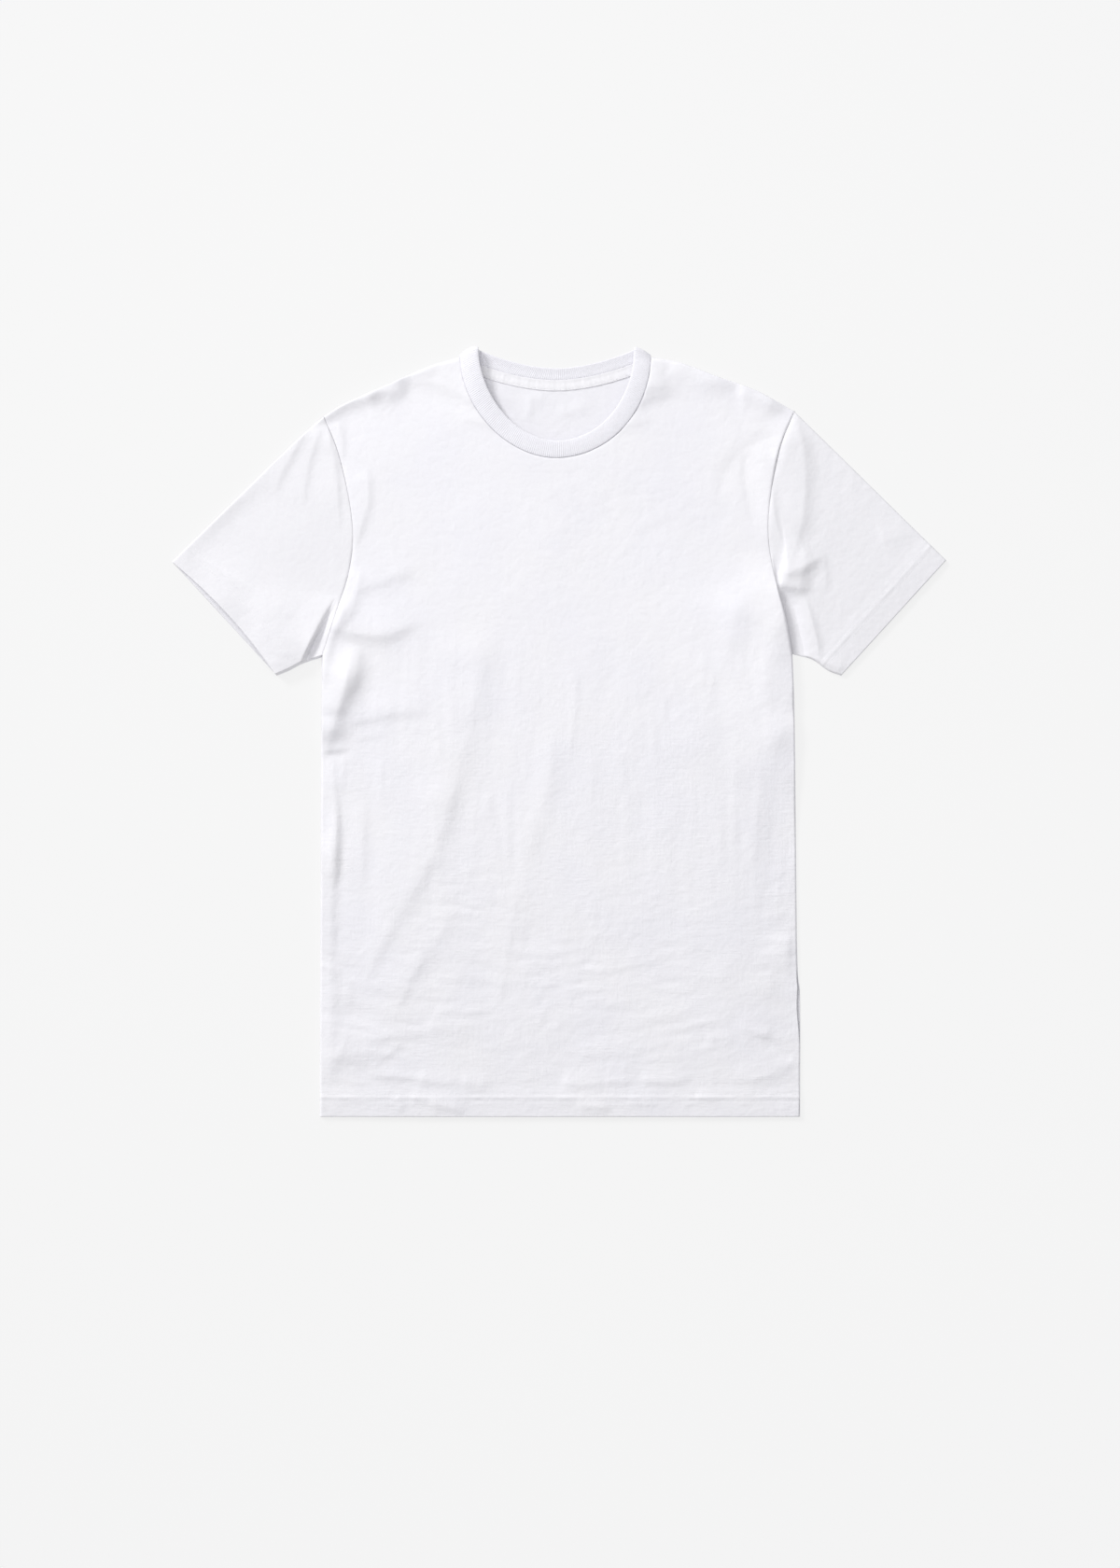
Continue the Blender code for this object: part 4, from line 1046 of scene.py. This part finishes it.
def neck_rib(material):
    """A band of 1x1 rib round the neck, with a rounded free edge."""
    both = np.hstack(rib_loops())
    both = np.vstack([both, both[:1]])
    far = walked((both[:, :3] + both[:, 3:]) / 2)
    wales = round(far[-1] / RIB_PITCH)
    at = np.linspace(0, far[-1], wales * POINTS_PER_WALE, endpoint=False)
    both = np.stack([np.interp(at, far, both[:, k]) for k in range(6)], axis=-1)
    for _ in range(RIB_SMOOTHED):
        both = (np.roll(both, 1, axis=0) + 2 * both + np.roll(both, -1, axis=0)) / 4
    seam, free = both[:, :3], both[:, 3:]
    middle = (seam + free) / 2
    way = np.roll(middle, -1, axis=0) - np.roll(middle, 1, axis=0)
    normal = np.cross(way, free - seam)
    normal /= np.linalg.norm(normal, axis=1, keepdims=True)
    raised = RIB_RELIEF * np.cos(2 * np.pi * np.arange(len(at)) / POINTS_PER_WALE)
    steep = np.maximum((free - seam)[:, 2] - RIB_LEVEL, 0)
    rows, chart = [], []
    for part, side in RIB_SECTION:
        crown = (RIB_CROWN + RIB_ARCH * steep) * 4 * part * (1 - part)
        thick = RIB / 2 + raised * (RIB_EDGE_RELIEF if part in (0.0, 1.0) else 1)
        rows.append(seam + part * (free - seam) + (crown + side * thick)[:, None] * normal)
        chart.append(np.column_stack([at, np.full(len(at), RIB_WIDTH * part)]))
    points, flat = np.stack(rows, axis=1), np.stack(chart, axis=1)
    faces = quads(len(seam), len(RIB_SECTION), wrap_rows=True, wrap_columns=True).tolist()
    return mesh_object("rib_cloth", points.reshape(-1, 3), faces, flat.reshape(-1, 2), [material])


def neck_tape(material):
    """A strip over the back neck seam, on the back panel, with rounded edges."""
    parts = np.linspace(0, 1, TAPE_STATIONS)
    edge = along(BACK_SEAM[np.abs(BACK_PARTS) <= TAPE_TO], parts)
    wave = sum(height * np.sin(parts * turns) for height, turns in TAPE_WAVES)
    lines, chart = [], []
    for depth, lift in TAPE_SECTION:
        spine = TAPE_SPINE * (1 - ease(depth / TAPE_SPINE_WIDTH))
        groove = TAPE_GROOVE * bell((depth - TAPE_ROW) / TAPE_GROOVE_WIDTH)
        height = LAYER + lift * (TAPE + spine) + (wave - groove) * (lift > 0.5)
        lines.append(np.column_stack([beside(edge, TAPE_OVER - depth), height]))
        chart.append(np.column_stack([walked(edge), np.full(len(edge), depth)]))
    points, flat = np.stack(lines, axis=1), np.stack(chart, axis=1)
    count = len(TAPE_SECTION)
    last = (TAPE_STATIONS - 1) * count
    faces = quads(TAPE_STATIONS, count, wrap_columns=True).tolist()
    faces += [list(range(count)), list(range(last, last + count))[::-1]]
    return mesh_object("tape_cloth", points.reshape(-1, 3), faces, flat.reshape(-1, 2), [material])


# --- Threads ---
def stitches(name, line, material):
    """A row of stitches along a line of points, as one mesh."""
    far = walked(line)
    ring = np.linspace(0, 2 * np.pi, THREAD_SIDES, endpoint=False)
    stations = np.linspace(0, 1, len(THREAD_TAPER))
    size = THREAD_SIDES * len(stations)
    points, faces, chart = [], [], []
    for k in range(int(far[-1] // STITCH)):
        at = k * STITCH + stations * STITCH_LONG
        centre = np.stack([np.interp(at, far, line[:, c]) for c in range(3)], axis=-1)
        centre[:, 2] += STITCH_ARCH * np.sin(np.pi * stations) - STITCH_SUNK
        way = centre[-1] - centre[0]
        way /= np.linalg.norm(way)
        side = np.cross(way, [0.0, 0.0, 1.0])
        side /= np.linalg.norm(side)
        lift = np.cross(side, way)
        circle = THREAD * (np.cos(ring)[:, None] * side + np.sin(ring)[:, None] * lift)
        points.append((centre[:, None] + THREAD_TAPER[:, None, None] * circle).reshape(-1, 3))
        chart.append(np.column_stack([np.repeat(at, THREAD_SIDES), np.tile(ring, len(stations))]))
        faces += (quads(len(stations), THREAD_SIDES, wrap_columns=True) + k * size).tolist()
        faces.append(list(range(k * size, k * size + THREAD_SIDES))[::-1])
        faces.append(list(range((k + 1) * size - THREAD_SIDES, (k + 1) * size)))
    return mesh_object(name, np.vstack(points), faces, np.vstack(chart), [material])


def on_upper(line, hem):
    """The line laid on the upper layer's outer face."""
    return upper_face(line[None], [], hem, 0.0)[0]


def hem_threads(material):
    rows = []
    for number, row in enumerate(STITCH_ROWS, 1):
        ends = BOTTOM + np.array([[HEM_INSET, BODY_HEM + row], [-HEM_INSET, BODY_HEM + row]])
        line = on_upper(along(ends, np.linspace(0, 1, HEM_ROW_STATIONS)), HEMS["bottom"])
        rows.append(stitches(f"front_hem_stitches_{number}", line, material))
    return rows


def cuff_threads(side, material):
    parts = np.linspace(CUFF_INSET, 1 - CUFF_INSET, ROW_STATIONS)
    rows = []
    for number, row in enumerate(STITCH_ROWS, 1):
        line = on_upper(cuff_line(side, SLEEVE_HEM + row, parts, CUFF_DRAWN_IN[side]), HEMS[side])
        rows.append(stitches(f"{side}_cuff_stitches_{number}", line, material))
    return rows


def tape_threads(material):
    row = beside(BACK_SEAM[np.abs(BACK_PARTS) <= TAPE_ROW_TO], TAPE_OVER - TAPE_ROW)
    flat = along(row, np.linspace(0, 1, ROW_STATIONS))
    height = np.full(len(flat), LAYER + TAPE - TAPE_ROW_SUNK)
    return [stitches("tape_stitches_1", np.column_stack([flat, height]), material)]


# --- Materials ---
class Nodes:
    """Short calls for a material's node tree."""

    def __init__(self, name, looks):
        """looks has values for the shader's own sockets."""
        self.material = bpy.data.materials.new(name)
        self.material.use_nodes = True
        self.tree = self.material.node_tree
        self.shader = self.tree.nodes["Principled BSDF"]
        self.fill(self.shader, looks)

    def fill(self, node, values):
        """Gives each named socket of the node its value, or links another node's output to it."""
        for name, value in values.items():
            if isinstance(value, bpy.types.NodeSocket):
                self.tree.links.new(value, node.inputs[name])
            else:
                node.inputs[name].default_value = value

    def node(self, kind, values):
        node = self.tree.nodes.new(f"ShaderNode{kind}")
        self.fill(node, values)
        return node

    def math(self, operation, *values):
        node = self.node("Math", dict(enumerate(values)))
        node.operation = operation
        return node.outputs[0]

    def add(self, *values):
        return self.math("ADD", *values)

    def times(self, *values):
        return self.math("MULTIPLY", *values)

    def place(self):
        return self.node("TexCoord", {}).outputs["Object"]

    def chart(self):
        """The place in the flat cloth."""
        node = self.node("UVMap", {})
        node.uv_map = "cloth"
        return self.split(node.outputs["UV"])

    def split(self, vector):
        parts = self.node("SeparateXYZ", {0: vector})
        return parts.outputs["X"], parts.outputs["Y"]

    def stretched(self, vector, *scale):
        node = self.node("VectorMath", {0: vector, 1: scale})
        node.operation = "MULTIPLY"
        return node.outputs[0]

    def noise(self, vector, scale, detail):
        values = {"Vector": vector, "Scale": scale, "Detail": detail}
        return self.node("TexNoise", values).outputs["Fac"]

    def ramp(self, value, start, end):
        """0 where the value is at start, 1 where it is at end."""
        limits = {"From Min": min(start, end), "From Max": max(start, end)}
        node = self.node("MapRange", {"Value": value, **limits})
        node.interpolation_type = "SMOOTHSTEP"
        rising = node.outputs["Result"]
        return rising if start < end else self.math("SUBTRACT", 1.0, rising)

    def between(self, factor, *colours):
        """A colour that the factor takes from the first to the second."""
        node = self.node("ValToRGB", {0: factor})
        for element, position, colour in zip(node.color_ramp.elements, WHITE_SPAN, colours):
            element.position = position
            element.color = (*colour, 1)
        return node.outputs[0]

    def bump(self, height, looks):
        node = self.node("Bump", {"Height": height, **looks})
        self.fill(self.shader, {"Normal": node.outputs[0]})


def crinkled(m, place):
    """Fine crinkles, stronger towards the hem, in units of the bump's own height."""
    _, y = m.split(place)
    total = 0.0
    for number, (across, along_y, height, start, full) in enumerate(CRINKLES):
        cells = m.noise(m.stretched(place, across, along_y, 1.0), 1.0, CRINKLE_DETAIL)
        fine = m.math("SUBTRACT", cells, 0.5)
        spread = m.stretched(place, 1.0, 1.0 + CRINKLE_SPREAD * number, 1.0)
        patches = m.ramp(m.noise(spread, CRINKLE_PATCH, 1.0), *CRINKLE_SPAN)
        strength = m.times(m.ramp(y, start, full), m.add(patches, CRINKLE_LEAST))
        total = m.add(total, m.times(m.times(fine, height), strength))
    return total


def cloth(name, knit, first, second=None):
    """Matt cotton in one white or between two, with one of the knits."""
    m = Nodes(name, COTTON)
    lean, courses, wales = KNITS[knit]
    u, v = m.chart()
    across = m.math("SUBTRACT", m.math("FRACT", m.math("DIVIDE", u, WALE * MM)), 0.5)
    leg = m.times(m.math("ABSOLUTE", across), lean)
    loops = m.math("SINE", m.times(m.add(m.math("DIVIDE", v, COURSE * MM), leg), 2 * math.pi))
    columns = m.math("COSINE", m.times(across, 2 * math.pi))
    height = m.add(m.times(loops, courses), m.times(columns, wales))
    place = m.place()
    for clumps, detail, grain in GRAIN:
        height = m.add(height, m.times(m.noise(place, clumps, detail), grain))
    if knit != "fine":
        height = m.add(height, crinkled(m, place))
    m.bump(height, CLOTH_BUMP)
    white = (*first, 1)
    if second:
        white = m.between(m.noise(place, WHITE_PATCH, WHITE_DETAIL), first, second)
    m.fill(m.shader, {"Base Color": white})
    return m.material


def thread_material():
    m = Nodes("thread", {"Base Color": (*THREAD_WHITE, 1), "Roughness": 0.6, "Sheen Weight": 0.1})
    u, _ = m.chart()
    m.bump(m.math("SINE", m.times(u, 2 * math.pi / (THREAD_TWIST * MM))), THREAD_BUMP)
    return m.material


# --- Stage, light and camera ---
def floor():
    mesh = bpy.data.meshes.new("floor")
    corners = [(x * FLOOR_REACH, y * FLOOR_REACH, 0) for x, y in ((-1, -1), (1, -1), (1, 1), (-1, 1))]
    mesh.from_pydata(corners, [], [(0, 1, 2, 3)])
    made = linked("floor", mesh)
    made.location.z = -FLOOR_DROP
    diffuse = FLOOR_WHITE * (1 - FLOOR_GLOW)
    looks = {
        "Base Color": (diffuse, diffuse, diffuse, 1),
        "Roughness": 1.0,
        "Specular IOR Level": 0.0,
        "Emission Color": (1, 1, 1, 1),
        "Emission Strength": FLOOR_WHITE * FLOOR_GLOW,
    }
    mesh.materials.append(Nodes("floor", looks).material)


def light():
    world = bpy.data.worlds.new("studio")
    world.use_nodes = True
    background = world.node_tree.nodes["Background"]
    background.inputs["Color"].default_value = (*WORLD_COLOUR, 1)
    background.inputs["Strength"].default_value = WORLD_LIGHT
    bpy.context.scene.world = world
    sun = bpy.data.lights.new("key", "SUN")
    sun.energy = KEY_STRENGTH
    sun.angle = math.radians(KEY_SOFTNESS)
    key = linked("key", sun)
    key.rotation_euler = (-Vector(KEY_DIRECTION)).to_track_quat("-Z", "Y").to_euler()
    lamp = bpy.data.lights.new("top", "AREA")
    lamp.size = TOP_SIZE
    lamp.energy = TOP_POWER
    linked("top", lamp).location = TOP_PLACE


def camera():
    lens = bpy.data.cameras.new("camera")
    lens.sensor_width = SENSOR
    lens.lens = SENSOR * CAMERA_HEIGHT / FRAME_HEIGHT
    lens.clip_end = FARTHEST
    made = linked("camera", lens)
    made.location = (*FRAME_CENTRE, CAMERA_HEIGHT)
    bpy.context.scene.camera = made
    bpy.context.scene.view_settings.view_transform = "Standard"


# --- The T-shirt ---
def ridden(piece, slot, *nodes):
    """The piece moves with the root, and stands for these nodes."""
    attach(piece, "root")
    if nodes:
        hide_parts(*nodes)
    return piece


def main():
    camera()
    light()
    floor()
    face = cloth("jersey_face", "plain", WHITE, COOL_WHITE)
    # the sleeves' jersey with a darker white: painted shade
    sleeve_face_painted_shade = cloth("sleeve_face_painted_shade", "plain", SLEEVE_PAINTED_SHADE_WHITE)
    # the inner faces' jersey with a darker white: painted shade
    wrong_side_painted_shade = cloth("jersey_wrong_side", "wrong side", INSIDE_PAINTED_SHADE_WHITE)
    # the rib with a darker white: painted shade
    rib = cloth("rib", "fine", RIB_PAINTED_SHADE_WHITE)
    tape = cloth("tape", "fine", WHITE)
    thread = thread_material()
    front = ridden(front_panel([face, wrong_side_painted_shade]), "jersey", "front_panel")
    back = ridden(back_panel([face, wrong_side_painted_shade]), "jersey", "back_panel")
    left = ridden(sleeve("left", [sleeve_face_painted_shade, wrong_side_painted_shade]), "jersey", "sleeve_left")
    right = ridden(sleeve("right", [sleeve_face_painted_shade, wrong_side_painted_shade]), "jersey", "sleeve_right")
    band = ridden(neck_rib(rib), "rib", "neck_rib")
    strip = ridden(neck_tape(tape), "tape", "neck_tape")
    hem_rows = [ridden(row, "jersey") for row in hem_threads(thread)]
    left_rows = [ridden(row, "jersey") for row in cuff_threads("left", thread)]
    right_rows = [ridden(row, "jersey") for row in cuff_threads("right", thread)]
    tape_rows = [ridden(row, "tape") for row in tape_threads(thread)]


main()
